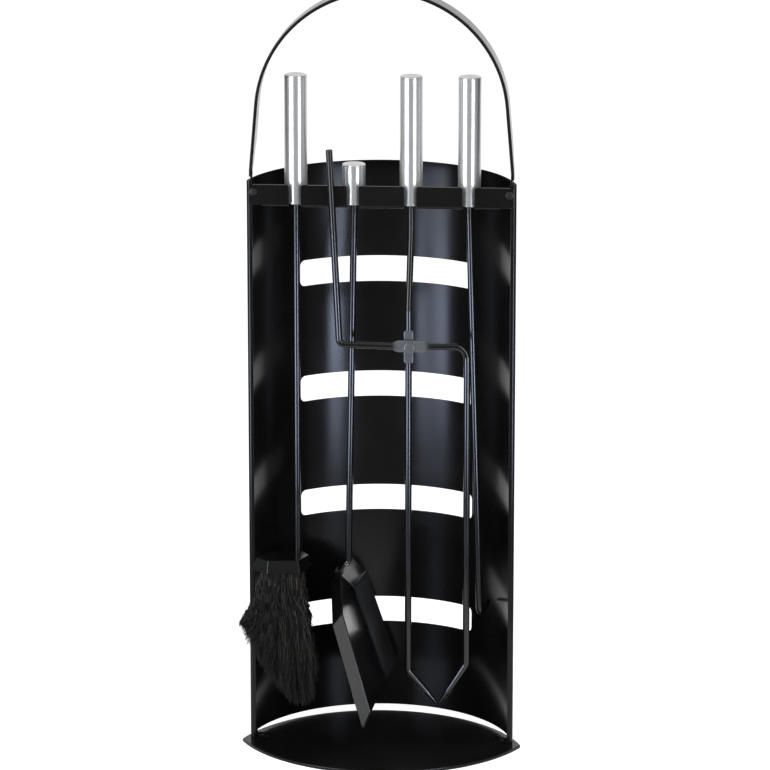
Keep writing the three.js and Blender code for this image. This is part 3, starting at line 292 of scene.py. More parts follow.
def dyed_fibre(colours):
    """Dyed, crimped plant fibre: dull and slightly waxy, and no two fibres took the dye alike."""
    return surface(
        "dyed_plant_fibre", {"Specular IOR Level": 0.08},
        tint=("shade", 0.25, 1, colours.fibre, colours.fibre_tip),
        gloss=("shade", 0, 1, 0.6, 0.8), relief=(noise(0.6 * MM, stretch=(1, 1, 0.1)), 0.3, 0.1 * MM))


FINISHES = {
    "gloss_black": gloss_enamel, "satin_black": satin_paint, "brushed_steel": brushed_steel,
    "zinc": black_zinc, "bushing": moulded_nylon, "fibre": dyed_fibre,
}
made_finishes = {}


def finish_named(name):
    """The material of that name, made the first time that it is asked for."""
    if name not in made_finishes:
        made_finishes[name] = FINISHES[name](bpy.context.scene.fireset_colours)
    return made_finishes[name]


# ------------------------------------------------------------------ working metal
def show(name, bm, body, nodes, finish, smooth_angle):
    """Makes the bmesh a piece that rides on a body and stands for its CAD nodes."""
    bmesh.ops.remove_doubles(bm, verts=bm.verts, dist=1e-6)
    bmesh.ops.recalc_face_normals(bm, faces=bm.faces)
    piece = show_mesh(name, mesh_from(name, bm), body, nodes, finish, smooth_angle)
    piece.modifiers.new("Even shading", "WEIGHTED_NORMAL").keep_sharp = True


def mesh_from(name, bm):
    """The mesh of a finished bmesh, which is freed."""
    mesh = bpy.data.meshes.new(name)
    bm.to_mesh(mesh)
    bm.free()
    return mesh


def show_mesh(name, mesh, body, nodes, finish, smooth_angle):
    """Makes the mesh a piece, smooth but for edges that turn by more than the angle."""
    if not mesh.polygons:
        raise RuntimeError(f"{name} has no faces")
    mesh.shade_smooth()
    mesh.set_sharp_from_angle(angle=math.radians(smooth_angle))
    mesh.materials.append(finish_named(finish))
    piece = bpy.data.objects.new(name, mesh)
    bpy.context.scene.collection.objects.link(piece)
    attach(piece, body)
    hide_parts(*nodes)
    return piece


def evenly(start, end, steps):
    """Positions from start to end, both among them."""
    return [start + (end - start) * i / steps for i in range(steps + 1)]


def merged_lines(*groups):
    """All positions in order, without those that coincide."""
    lines = []
    for position in sorted(p for group in groups for p in group):
        if not lines or position - lines[-1] > 1e-5:
            lines.append(position)
    return lines


def punched_sheet(columns, rows, keep, thickness):
    """A flat sheet on a grid of lines, without the cells that keep() turns down, its middle at height 0."""
    bm = bmesh.new()
    across, along = len(columns) - 1, len(rows) - 1
    bmesh.ops.create_grid(bm, x_segments=across, y_segments=along, size=1)
    for v in bm.verts:
        v.co.x = columns[round((v.co.x + 1) / 2 * across)]
        v.co.y = rows[round((v.co.y + 1) / 2 * along)]
    gone = [f for f in bm.faces if not keep(*f.calc_center_median().xy)]
    bmesh.ops.delete(bm, geom=gone, context="FACES")
    bmesh.ops.translate(bm, verts=bm.verts, vec=(0, 0, -thickness / 2))
    raised(bm, thickness)
    bmesh.ops.recalc_face_normals(bm, faces=bm.faces)
    return bm


def rounded_corners(bm, corners, radius, segments=6):
    """Rounds the sheet's edges through its thickness at the given corners."""
    picked = []
    for edge in bm.edges:
        a, b = (v.co for v in edge.verts)
        if (a.xy - b.xy).length < 1e-7 and any((a.xy - Vector(c)).length < 2e-5 for c in corners):
            picked.append(edge)
    if len(picked) < len(corners):
        raise RuntimeError("a sheet has fewer corners than the pattern says")
    rounded(bm, picked, radius, segments, clamped=False)


def rounded(bm, edges, width, segments, clamped=True):
    """Rounds edges by a width measured along their faces."""
    bmesh.ops.bevel(
        bm, geom=edges, offset=width, offset_type="OFFSET", affect="EDGES",
        segments=segments, profile=0.5, material=-1, clamp_overlap=clamped)


def broken_edges(bm, width, segments=2, angle=50.0):
    """Takes the sharpness off every edge that turns by more than the angle."""
    sharp = [e for e in bm.edges if len(e.link_faces) == 2 and e.calc_face_angle(0) > math.radians(angle)]
    rounded(bm, sharp, width, segments)


def raised(bm, height):
    """Gives flat faces a thickness upwards."""
    grown = bmesh.ops.extrude_face_region(bm, geom=bm.faces[:])["geom"]
    top = [g for g in grown if isinstance(g, bmesh.types.BMVert)]
    bmesh.ops.translate(bm, verts=top, vec=(0, 0, height))


class BendLine:
    """A line of straight runs and left-hand bends in a plane, that flat sheet is bent along."""

    def __init__(self, start, heading, runs):
        self.parts = []
        place, turn, reached = Vector(start), heading, 0.0
        for kind, size, radius in runs:
            amount = size * radius if kind == "bend" else size
            self.parts.append((reached, reached + amount, kind, place.copy(), turn, radius))
            place, turn = self._moved(kind, place, turn, radius, amount)
            reached += amount
        self.length = reached

    @staticmethod
    def _moved(kind, place, turn, radius, amount):
        if kind == "run":
            return place + Vector((math.cos(turn), math.sin(turn))) * amount, turn
        left = Vector((-math.sin(turn), math.cos(turn)))
        centre = place + left * radius
        turned = turn + amount / radius
        return centre - Vector((-math.sin(turned), math.cos(turned))) * radius, turned

    def at(self, distance, out):
        """The point at a distance along the line, and out to its right."""
        distance = min(max(distance, 0), self.length)
        for begin, end, kind, place, turn, radius in self.parts:
            if distance <= end + 1e-9:
                break
        point, heading = self._moved(kind, place, turn, radius, distance - begin)
        return point + Vector((math.sin(heading), -math.cos(heading))) * out


def add_block(bm, low, high, edge, corners=()):
    """A block with broken edges, whose upright edges at the given corners are rounded."""
    low, high = Vector(low), Vector(high)
    size, middle = high - low, (high + low) / 2
    part = bmesh.new()
    bmesh.ops.create_cube(part, size=1, matrix=Matrix.Translation(middle) @ Matrix.Diagonal((*size, 1)))
    for x, y, radius in corners:
        picked = [e for e in part.edges if all((v.co.xy - Vector((x, y))).length < 1e-6 for v in e.verts)]
        rounded(part, picked, radius, 5, clamped=False)
    broken_edges(part, edge)
    add_part(bm, part)


def move(bm, matrix):
    """Moves the whole of a bmesh."""
    bmesh.ops.transform(bm, matrix=matrix, verts=bm.verts)


def add_part(bm, part):
    """Puts one bmesh's faces into another."""
    mesh = mesh_from("part", part)
    bm.from_mesh(mesh)
    bpy.data.meshes.remove(mesh)


def turned_profile(points, centre, steps=48, axis=(0, 0, 1)):
    """Spins a profile of (radius, height) points round an axis through centre."""
    bm = bmesh.new()
    verts = [bm.verts.new((radius, 0, height)) for radius, height in points]
    edges = [bm.edges.new(pair) for pair in zip(verts, verts[1:])]
    bmesh.ops.spin(bm, geom=verts + edges, cent=(0, 0, 0), axis=(0, 0, 1), angle=2 * math.pi,
                   steps=steps, use_merge=True, use_duplicate=False)
    bmesh.ops.remove_doubles(bm, verts=bm.verts, dist=1e-7)
    move(bm, stood_on(centre, axis))
    return bm


def stood_on(place, axis):
    """Takes a shape made along Z to a place, with Z turned to the axis."""
    turn = Vector((0, 0, 1)).rotation_difference(Vector(axis))
    return Matrix.Translation(place) @ turn.to_matrix().to_4x4()


def bent_line(corners, radii, steps=10):
    """The centre line of a bent rod: its ends, and stations round each bend."""
    line = [corners[0].copy()]
    for before, corner, after, radius in zip(corners, corners[1:], corners[2:], radii):
        into, out = (corner - before).normalized(), (after - corner).normalized()
        turn = into.angle(out)
        start = corner - into * radius * math.tan(turn / 2)
        axis = into.cross(out).normalized()
        centre = start + axis.cross(into) * radius
        for k in range(steps + 1):
            line.append(centre + Matrix.Rotation(turn * k / steps, 3, axis) @ (start - centre))
    line.append(corners[-1].copy())
    return line


def sections_along(line, radius):
    """Round sections at each station of a line: (centre, half width, half thickness, squareness)."""
    return [(point, radius, radius, 2.0) for point in line]


def next_ring(bm, ring, edges):
    """Extrudes a rod's open end: the new ring in the old one's order, and its edges."""
    order = {v: k for k, v in enumerate(ring)}
    grown = bmesh.ops.extrude_edge_only(bm, edges=edges)["geom"]
    moved = [g for g in grown if isinstance(g, bmesh.types.BMVert)]
    rim = [g for g in grown if isinstance(g, bmesh.types.BMEdge) and all(v in moved for v in g.verts)]
    matched = {order[e.other_vert(v)]: v for v in moved for e in v.link_edges if e.other_vert(v) in order}
    return [matched[k] for k in range(len(ring))], rim


def forged_rod(sections, facing=(0, -1, 0), end_edge=0.5 * MM):
    """A rod drawn through sections. Its thickness is measured along facing, and its width across that.
    Squareness 2 is round or oval, and higher values fill out the corners."""
    bm = bmesh.new()
    # Flattened sections are marked for a painted reflection: the squarer a section, the more of the grey that
    # stands for mirrored surroundings
    painted_reflection = bm.verts.layers.float.new("painted_reflection")
    face = Vector(facing)
    ring = bmesh.ops.create_circle(bm, cap_ends=True, segments=ROD_SIDES, radius=1)["verts"]
    ring.sort(key=lambda v: math.atan2(v.co.y, v.co.x))
    edges = [e for e in bm.edges if len(e.link_faces) == 1]
    for i, (centre, half_width, half_thickness, squareness) in enumerate(sections):
        ahead = sections[min(i + 1, len(sections) - 1)][0] - centre
        behind = centre - sections[max(i - 1, 0)][0]
        tangent = (ahead.normalized() + behind.normalized()).normalized()
        face = (face - tangent * face.dot(tangent)).normalized()
        across = tangent.cross(face)
        if i:
            ring, edges = next_ring(bm, ring, edges)
        for k, v in enumerate(ring):
            angle = 2 * math.pi * k / ROD_SIDES
            x, y = (math.copysign(abs(c) ** (2 / squareness), c) for c in (math.cos(angle), math.sin(angle)))
            v.co = centre + across * x * half_width + face * y * half_thickness
            v[painted_reflection] = min(1, (squareness - 2) / 1.5)
    bmesh.ops.edgeloop_fill(bm, edges=edges)
    bmesh.ops.recalc_face_normals(bm, faces=bm.faces)
    caps = [f for f in bm.faces if len(f.verts) == ROD_SIDES]
    rounded(bm, list({e for f in caps for e in f.edges}), end_edge, 2)
    return bm


def pushed_out(points, distances):
    """Moves each edge of an anticlockwise outline outwards by its own distance."""
    edges = []
    for i, point in enumerate(points):
        along = (points[(i + 1) % len(points)] - point).normalized()
        edges.append((point + Vector((along.y, -along.x)) * distances[i % len(distances)], along))
    moved = []
    for i, (start, along) in enumerate(edges):
        before, before_along = edges[i - 1]
        cross = before_along.x * along.y - before_along.y * along.x
        gap = start - before
        moved.append(before + before_along * ((gap.x * along.y - gap.y * along.x) / cross))
    return moved


def folded_tray(floor, rim, open_sides, fold, fold_steps, thickness, edge):
    """A sheet whose edges are folded from a floor to a rim, thickened, with its cut edges broken."""
    bm = bmesh.new()
    low, high = ([bm.verts.new(p) for p in outline] for outline in (floor, rim))
    flat = bm.faces.new(low)
    for i in range(len(floor)):
        j = (i + 1) % len(floor)
        if i not in open_sides:
            bm.faces.new((low[i], low[j], high[j], high[i]))
    bmesh.ops.recalc_face_normals(bm, faces=bm.faces)
    if flat.normal.z < 0:
        bmesh.ops.reverse_faces(bm, faces=bm.faces)
    rounded(bm, [e for e in bm.edges if len(e.link_faces) == 2], fold, fold_steps)
    bmesh.ops.solidify(bm, geom=bm.faces[:], thickness=thickness)
    bmesh.ops.recalc_face_normals(bm, faces=bm.faces)
    broken_edges(bm, edge, 2, 60)
    return bm


# ------------------------------------------------------------------ stand, base and rail
def sizes():
    """The sizes that the user may change."""
    return bpy.context.scene.fireset_sizes


class FIRESET_OT_stand(bpy.types.Operator):
    """Rolled back stand with folded front edges, four slots, ears for the rail and two feet"""
    bl_idname = "fireset.stand"
    bl_label = "Back stand"

    def execute(self, context):
        sheet = sizes().stand_sheet
        middle = STAND_RADIUS - sheet / 2
        fold = STAND_FOLD_RADIUS
        fold_y = sheet / 2 + fold
        fold_x = math.sqrt((middle - fold) ** 2 - (fold_y - STAND_CENTRE_Y) ** 2)
        start = math.atan2(fold_y - STAND_CENTRE_Y, fold_x)
        ear = fold_x - EAR_X
        line = BendLine((EAR_X, sheet / 2), 0, [
            ("run", ear, 0), ("bend", math.pi / 2 + start, fold), ("bend", math.pi - 2 * start, middle),
            ("bend", math.pi / 2 + start, fold), ("run", ear, 0)])
        fold_length = (math.pi / 2 + start) * fold
        wall = ear + fold_length

        def along(angle):
            return wall + (angle - start) * middle

        foot = math.asin((FOOT_REACH_Y - STAND_CENTRE_Y) / middle)
        slot = math.acos(SLOT_HALF_WIDTH / middle)
        flange = STAND_FLANGE_X - EAR_X
        half = merged_lines(
            [0, flange], evenly(ear, wall, 8), [along(a) for a in evenly(start, foot, 2)],
            [along(a) for a in evenly(foot, slot, 8)])
        columns = merged_lines(
            half, [line.length - s for s in half], [along(a) for a in evenly(slot, math.pi - slot, 24)])
        slot_rows = [z + side * SLOT_HALF_HEIGHT for z in SLOT_CENTRES for side in (-1, 1)]
        rows = merged_lines([STAND_FOOT, STAND_WALL_BOTTOM, EAR_BOTTOM, EAR_TOP, STAND_RIM], slot_rows)

        def keep(s, z):
            s = min(s, line.length - s)
            if s < flange:
                return EAR_BOTTOM < z < EAR_TOP
            if z < STAND_WALL_BOTTOM:
                return s < along(foot)
            return s < along(slot) or all(abs(z - c) > SLOT_HALF_HEIGHT for c in SLOT_CENTRES)

        bm = punched_sheet(columns, rows, keep, sheet)
        sides = (along(slot), line.length - along(slot))
        rounded_corners(bm, [(s, z) for s in sides for z in slot_rows], sizes().slot_corner)
        rounded_corners(bm, [(s, z) for s in (0, line.length) for z in (EAR_BOTTOM, EAR_TOP)], 2 * MM, 4)
        broken_edges(bm, sizes().broken_edge)
        for v in bm.verts:
            place = line.at(v.co.x, v.co.z)
            v.co = (place.x, place.y, v.co.y)
        for side in (-1, 1):
            inner = side * FOOT_INNER_X
            left, right = sorted((inner, side * FOOT_OUTER_X))
            add_block(bm, (left, FOOT_FRONT_Y, STAND_FOOT), (right, FOOT_BACK_Y, STAND_FOOT + sheet),
                      0.25 * MM, [(inner, y, 2 * MM) for y in (FOOT_FRONT_Y, FOOT_BACK_Y)])
        show("stand_shell", bm, "stand", ["back_stand"], "gloss_black", 40)
        return {"FINISHED"}


class FIRESET_OT_base(bpy.types.Operator):
    """Flat base plate between two arcs, with rounded edges"""
    bl_idname = "fireset.base"
    bl_label = "Base plate"

    def execute(self, context):
        low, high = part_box("base_plate")
        rear_radius, front_radius, tip = 132.42 * MM, 137.97 * MM, 1.2 * MM
        rear_y, front_y = high.y - rear_radius, low.y + front_radius
        apart = front_y - rear_y
        along = ((rear_radius - tip) ** 2 - (front_radius - tip) ** 2 + apart ** 2) / (2 * apart)
        tip_x = math.sqrt((rear_radius - tip) ** 2 - along ** 2)
        tip_y = rear_y + along
        rear = math.atan2(along, tip_x)
        front = math.atan2(tip_y - front_y, tip_x)
        bm = bmesh.new()
        arcs = [
            ((0, rear_y), rear_radius, rear, math.pi - 2 * rear, 96),
            ((-tip_x, tip_y), tip, math.pi - rear, rear - front, 6),
            ((0, front_y), front_radius, math.pi - front, math.pi + 2 * front, 96),
            ((tip_x, tip_y), tip, front, rear - front, 6),
        ]
        for (x, y), radius, begin, sweep, steps in arcs:
            first = bm.verts.new((x + radius * math.cos(begin), y + radius * math.sin(begin), low.z))
            bmesh.ops.spin(bm, geom=[first], cent=(x, y, 0), axis=(0, 0, 1), angle=sweep, steps=steps,
                           use_merge=False, use_duplicate=False)
        bmesh.ops.remove_doubles(bm, verts=bm.verts, dist=1e-5)
        bmesh.ops.contextual_create(bm, geom=bm.edges[:])
        raised(bm, high.z - low.z)
        bmesh.ops.recalc_face_normals(bm, faces=bm.faces)
        rims = [e for e in bm.edges if len(e.link_faces) == 2 and e.calc_face_angle(0) > 1]
        rounded(bm, rims, 0.7 * MM, 3)
        bmesh.ops.triangulate(bm, faces=[f for f in bm.faces if len(f.verts) > 4])
        show("base_slab", bm, "stand", ["base_plate"], "gloss_black", 40)
        return {"FINISHED"}


class FIRESET_OT_rail(bpy.types.Operator):
    """Angle rail bent from sheet, with four notches that run back into its shelf"""
    bl_idname = "fireset.rail"
    bl_label = "Tool rail"

    def execute(self, context):
        sheet = sizes().rail_sheet
        outer_bend = 3.5 * MM
        bend = outer_bend - sheet / 2
        front = RAIL_TOP - RAIL_BOTTOM - outer_bend
        bent = bend * math.pi / 2
        line = BendLine((-sheet / 2, RAIL_TOP), -math.pi / 2, [
            ("run", front, 0), ("bend", math.pi / 2, bend), ("run", SHELF_BACK - SHELF_START, 0)])
        end = front + bent + TOOL_Y + NOTCH_HALF_WIDTH - SHELF_START
        wing = front + bent / 3
        notch_sides = [x + side * NOTCH_HALF_WIDTH for x in TOOL_X.values() for side in (-1, 1)]
        columns = merged_lines(
            [side * x for side in (-1, 1) for x in (RAIL_HALF_WIDTH, SHELF_HALF_WIDTH)], notch_sides)
        rows = merged_lines([0, end, line.length], evenly(front, front + bent, 9))

        def keep(x, t):
            if abs(x) > SHELF_HALF_WIDTH:
                return t < wing
            return t > end or all(abs(x - c) > NOTCH_HALF_WIDTH for c in TOOL_X.values())

        bm = punched_sheet(columns, rows, keep, sheet)
        rounded_corners(bm, [(x, 0) for x in notch_sides], 2 * MM, 5)
        rounded_corners(bm, [(x, end) for x in notch_sides], 0.98 * NOTCH_HALF_WIDTH, 8)
        rounded_corners(bm, [(side * RAIL_HALF_WIDTH, 0) for side in (-1, 1)], 0.6 * MM, 3)
        broken_edges(bm, sizes().broken_edge)
        for v in bm.verts:
            place = line.at(v.co.y, v.co.z)
            v.co = (v.co.x, place.x, place.y)
        show("notched_rail", bm, "stand", ["tool_rail"], "gloss_black", 40)
        return {"FINISHED"}


HOOP_FRONT = 1.5 * MM
HOOP_TAB_OUTER_X = 113.9 * MM
# The bolted tab and the heel that joins it to the leg: inner side, foot, head and the width of their edges
HOOP_TAB = (EAR_X, 494 * MM, 508.5 * MM, 0.35 * MM)
HOOP_HEEL = (112.1 * MM, 508 * MM, 521 * MM, 0.25 * MM)


class FIRESET_OT_hoop(bpy.types.Operator):
    """Carrying hoop bent from strip, narrowed at the heels down to its bolted tabs"""
    bl_idname = "fireset.hoop"
    bl_label = "Carrying hoop"

    def execute(self, context):
        strip = sizes().hoop_strip
        splay = math.radians(4.9)
        radius = 110.5 * MM - strip / 2
        centre = STAND_RIM + 57.5 * MM
        leg_x = 115.1 * MM - strip / 2
        bottom = STAND_RIM + 3 * MM
        start_x, start_z = radius * math.cos(splay), centre + radius * math.sin(splay)
        knee = start_z - (leg_x - start_x) / math.tan(splay)
        lean = math.hypot(leg_x - start_x, start_z - knee)
        elbow = 12 * MM
        cut = elbow * math.tan(splay / 2)
        line = BendLine((leg_x, bottom), math.pi / 2, [
            ("run", knee - bottom - cut, 0), ("bend", splay, elbow), ("run", lean - cut, 0),
            ("bend", math.pi - 2 * splay, radius), ("run", lean - cut, 0), ("bend", splay, elbow),
            ("run", knee - bottom - cut, 0)])
        width, heel, rise = 24 * MM, 6.5 * MM, 29 * MM
        leg = knee - bottom - cut
        arc = leg + splay * elbow + lean - cut
        half = merged_lines(evenly(0, rise, 6), [leg], [arc])
        columns = merged_lines(half, [line.length - s for s in half], evenly(arc, line.length - arc, 64))
        bm = punched_sheet(columns, [0, width / 2, width], lambda s, y: True, strip)
        for v in bm.verts:
            from_end = min(v.co.x, line.length - v.co.x)
            share = min(max((from_end - MM) / (rise - MM), 0), 1)
            v.co.y *= (heel + (width - heel) * share) / width
        broken_edges(bm, 0.6 * MM, 3)
        for v in bm.verts:
            place = line.at(v.co.x, v.co.z)
            v.co = (place.x, HOOP_FRONT + v.co.y, place.y)
        for side in (-1, 1):
            for inner, low, high, edge in (HOOP_TAB, HOOP_HEEL):
                left, right = sorted((side * inner, side * HOOP_TAB_OUTER_X))
                add_block(bm, (left, HOOP_FRONT, low), (right, HOOP_FRONT + strip, high), edge)
        show("hoop_band", bm, "stand", ["carry_hoop"], "satin_black", 40)
        return {"FINISHED"}


class FIRESET_OT_fasteners(bpy.types.Operator):
    """Domed socket screws and hexagon nuts that hold rail, hoop and base"""
    bl_idname = "fireset.fasteners"
    bl_label = "Screws and nuts"

    def execute(self, context):
        for name, side in (("left", -1), ("right", 1)):
            bolt = Vector((side * BOLT_X, -2 * MM, BOLT_Z))
            foot = Vector((side * SCREW_X, SCREW_Y, STAND_FOOT + 1.5 * MM))
            self.screw(f"rail_screw_{name}", f"rail_bolt_{name}", bolt, (0, -1, 0), 10.1 * MM)
            self.screw(f"foot_screw_{name}", f"base_screw_{name}", foot, (0, 0, 1), 4.3 * MM)
            self.nut(f"hexagon_nut_{name}", f"rail_nut_{name}", bolt + Vector((0, 6.5 * MM, 0)))
        return {"FINISHED"}

    @staticmethod
    def nut(name, node, seat):
        """A hexagon nut that lies flat on the back of the hoop's tab."""
        bm = bmesh.new()
        bmesh.ops.create_circle(bm, cap_ends=True, segments=6, radius=NUT_FLATS / math.sqrt(3),
                                matrix=Matrix.Rotation(math.pi / 6, 4, "Z"))
        raised(bm, NUT_THICKNESS)
        broken_edges(bm, 0.25 * MM)
        move(bm, Matrix.Translation(seat) @ Matrix.Rotation(-math.pi / 2, 4, "X"))
        show(name, bm, "stand", [node], "zinc", 35)

    @staticmethod
    def screw(name, node, seat, axis, length):
        """A low domed head with a hexagon socket, on its plain shank."""
        dome = [(SCREW_HEAD * math.cos(a), SCREW_RIM + (SCREW_DOME - SCREW_RIM) * math.sin(a))
                for a in evenly(0, math.radians(68), 7)]
        top = dome[-1][1]
        shank = [(0, -length), (SCREW_SHANK, -length), (SCREW_SHANK + 0.05 * MM, 0)]
        bm = turned_profile(shank + [(SCREW_HEAD, 0)] + dome + [(0, top)], (0, 0, 0), 36)
        socket = bmesh.new()
        bmesh.ops.create_cone(socket, cap_ends=True, segments=6, radius1=SOCKET_RADIUS, radius2=SOCKET_RADIUS,
                              depth=0.12 * MM, matrix=Matrix.Translation((0, 0, top + 0.01 * MM)))
        caps = [f for f in socket.faces if f.normal.z > 0.9]
        bmesh.ops.inset_region(socket, faces=caps, thickness=SOCKET_WALL)
        bmesh.ops.translate(socket, verts=[v for f in caps for v in f.verts], vec=(0, 0, -SOCKET_DEPTH))
        add_part(bm, socket)
        move(bm, stood_on(seat, axis))
        show(name, bm, "stand", [node], "zinc", 35)


# ------------------------------------------------------------------ grips and rods
TUBE_RADIUS, TUBE_BORE = 10 * MM, 8.8 * MM


class FIRESET_OT_grips(bpy.types.Operator):
    """Tube grips with pressed end caps and plastic bushings"""
    bl_idname = "fireset.grips"
    bl_label = "Grips"

    def execute(self, context):
        for tool, x in TOOL_X.items():
            low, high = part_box(f"{tool}_grip")[0].z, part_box(f"{tool}_grip")[1].z
            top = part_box(f"{tool}_grip_cap")[1].z
            for name, node, profile, steps, finish, angle in (
                    ("tube", "grip", self.tube(low, high), 96, "brushed_steel", 30),
                    ("end_cap", "grip_cap", self.cap(high, top), 96, "brushed_steel", 50),
                    ("bushing", "grip_insert", self.bushing(low), 64, "bushing", 40)):
                bm = turned_profile(profile, (x, TOOL_Y, 0), steps)
                show(f"{tool}_{name}", bm, tool, [f"{tool}_{node}"], finish, angle)
        return {"FINISHED"}

    @staticmethod
    def tube(low, high):
        """The tube's wall, with broken edges."""
        edge, lip = 0.3 * MM, 0.15 * MM
        side = [(TUBE_RADIUS, z) for z in evenly(low + edge, high - lip, 12)]
        return [(TUBE_BORE, low), (TUBE_RADIUS - edge, low)] + side + [
            (TUBE_RADIUS - lip, high), (TUBE_BORE, high), (TUBE_BORE, low)]

    @staticmethod
    def cap(seat, top):
        """A plug inside the tube, a fine seam, and a round-edged cap that dishes slightly to its middle."""
        plug, depth, seam, chamfer, corner = 8.7 * MM, 3 * MM, 0.06 * MM, 0.1 * MM, 1 * MM
        foot = seat + seam
        edge = [(TUBE_RADIUS - corner + corner * math.cos(a), top - corner + corner * math.sin(a))
                for a in evenly(0, math.pi / 2, 7)]
        return [(0, seat - depth), (plug, seat - depth), (plug, foot), (TUBE_RADIUS - chamfer, foot),
                (TUBE_RADIUS, foot + chamfer)] + edge + [(5 * MM, top - 0.02 * MM), (0, top - 0.04 * MM)]

    @staticmethod
    def bushing(low):
        """A ring round the rod, flush with the tube's foot."""
        return [(radius * MM, low + height * MM) for radius, height in (
            (3.3, 0.4), (3.7, 0), (8.2, 0), (8.5, 0.3), (8.5, 14), (3.3, 14), (3.3, 0.4))]


def drawn_tip(start, tip, radius, tip_radius):
    """The stations of a rod's last stretch, drawn down to a blunt point."""
    reach, taper, nose, nose_share = 14 * MM, 1.15, 0.6 * MM, 0.55
    along = (tip - start).normalized()
    begin = tip - along * reach
    stations = []
    for share in evenly(0, 1, 6):
        place = begin + along * (reach - nose) * share
        stations += sections_along([place], radius + (tip_radius - radius) * share ** taper)
    return stations + sections_along([tip], tip_radius * nose_share)


class FIRESET_OT_poker(bpy.types.Operator):
    """Poker: a leaning rod that ends in a drawn hook"""
    bl_idname = "fireset.poker"
    bl_label = "Poker"

    def execute(self, context):
        x, radius = TOOL_X["poker"], sizes().rod / 2
        bottom = Vector((86.6 * MM, TOOL_Y, 119.5 * MM))
        tip = Vector((94 * MM, TOOL_Y + 30 * MM, 124 * MM))
        knee = Vector((x, TOOL_Y, ROD_KNEE))
        corners = [Vector((x, TOOL_Y, ROD_TOP)), knee, bottom, tip]
        line = bent_line(corners, [60 * MM, 7 * MM])
        sections = sections_along(line[:-1], radius) + drawn_tip(bottom, tip, radius, 1.2 * MM)
        show("poker_bar", forged_rod(sections), "poker", ["poker_rod"], "satin_black", 60)
        return {"FINISHED"}


def flattened(low, high, half_width, half_thickness, radius, swell, squareness):
    """Stations between two points where a round rod has been forged flat."""
    along = (high - low).normalized()
    middle = low + along * (high - low).length / 2

    def station(place, flatness):
        ease = flatness * flatness * (3 - 2 * flatness)
        return (place, radius + (half_width - radius) * ease, radius + (half_thickness - radius) * ease,
                2 + (squareness - 2) * ease)

    shares = evenly(0, 1, 6)
    return ([station(low - along * swell * (1 - share), share) for share in shares] + [station(middle, 1)]
            + [station(high + along * swell * share, 1 - share) for share in shares])


BLOCK_X = 24.2 * MM
BLOCK_Y = PIVOT.y + 4.3 * MM
TONGS_TIP_Y = (PIVOT.y + BLOCK_Y) / 2
TONGS_TIP = Vector((51 * MM, TONGS_TIP_Y, 42 * MM))
TIP_APART = Vector((1.45 * MM, 0, 0))
ARM_Z = 370 * MM
EYE_Z = 369.2 * MM


class FIRESET_OT_tongs(bpy.types.Operator):
    """Tongs: a main rod forged to a block, a cranked lever forged to an eye, and the rivet through both"""
    bl_idname = "fireset.tongs"
    bl_label = "Tongs"

    def execute(self, context):
        self.main_bar(sizes().rod / 2)
        self.lever(sizes().rod / 2)
        self.rivet()
        return {"FINISHED"}

    @staticmethod
    def main_bar(radius):
        """A rod that steps forward below the rail, is forged to a block and ends at the tips."""
        x, past_block = TOOL_X["tongs"], Vector((0, 0, 6 * MM))
        low, high = Vector((BLOCK_X, BLOCK_Y, 355 * MM)), Vector((BLOCK_X, BLOCK_Y, 381 * MM))
        knee = Vector((BLOCK_X, TONGS_TIP_Y, 72 * MM))
        tip = TONGS_TIP - TIP_APART
        upper = bent_line(
            [Vector((x, TOOL_Y, ROD_TOP)), Vector((x, TOOL_Y, 466 * MM)), Vector((BLOCK_X, BLOCK_Y, 402 * MM)),
             high + past_block], [25 * MM, 25 * MM], 12)
        lower = bent_line([low - past_block, knee, tip], [8 * MM])
        sections = sections_along(upper[:-1], radius)
        sections += flattened(high, low, 4.2 * MM, 2 * MM, radius, 1.8 * MM, 7)
        sections += sections_along(lower[1:-1], radius) + drawn_tip(knee, tip, radius, 1.3 * MM)
        show("tongs_bar", forged_rod(sections), "tongs", ["tongs_main_rod"], "satin_black", 60)

    @staticmethod
    def lever(radius):
        """A rod that comes down on the left, crosses through the eye and runs down to the tips."""
        y = PIVOT.y
        tip, knee = TONGS_TIP + TIP_APART, Vector((75.7 * MM, TONGS_TIP_Y, 79 * MM))
        top = Vector((-44.5 * MM, y, 543 * MM))
        left, right = Vector((-36 * MM, y, ARM_Z)), Vector((75.5 * MM, y, ARM_Z))
        eye_left, eye_right = Vector((15.8 * MM, y, EYE_Z)), Vector((36.6 * MM, y, EYE_Z))
        first = bent_line([top, left, eye_left - Vector((6 * MM, 0, 0))], [5 * MM])
        last = bent_line([eye_right + Vector((8 * MM, 0, 0)), right, knee, tip], [11 * MM, 8 * MM])
        sections = sections_along(first[:-1], radius)
        sections += flattened(eye_left, eye_right, 5.25 * MM, 2 * MM, radius, 7 * MM, 3.6)
        sections += sections_along(last[1:-1], radius) + drawn_tip(knee, tip, radius, 1.3 * MM)
        bar = forged_rod(sections, end_edge=0.8 * MM)
        show("lever_bar", bar, "tongs_lever", ["tongs_lever"], "satin_black", 60)

    @staticmethod
    def rivet():
        """A domed head over the eye, and a smaller one set behind the block."""
        shank, head = 2 * MM, 4.9 * MM
        back = BLOCK_Y - PIVOT.y + 2.3 * MM
        face = 2.1 * MM
        profile = [(head * math.sin(a), face + 0.3 * MM + 0.9 * MM * math.cos(a))
                   for a in evenly(0, math.pi / 2, 8)]
        profile += [(head, face), (shank, face), (shank, -back), (4.2 * MM, -back), (4 * MM, -back - 0.8 * MM),
                    (2.6 * MM, -back - 1.4 * MM), (0, -back - 1.5 * MM)]
        bm = turned_profile(profile, PIVOT, 48, (0, -1, 0))
        # The whole head takes the painted reflection of the forged flats, so it shows as grey as the eye
        # around it
        painted_reflection = bm.verts.layers.float.new("painted_reflection")
        for v in bm.verts:
            v[painted_reflection] = 1
        show("pivot_rivet", bm, "tongs", ["tongs_pivot_rivet"], "satin_black", 40)


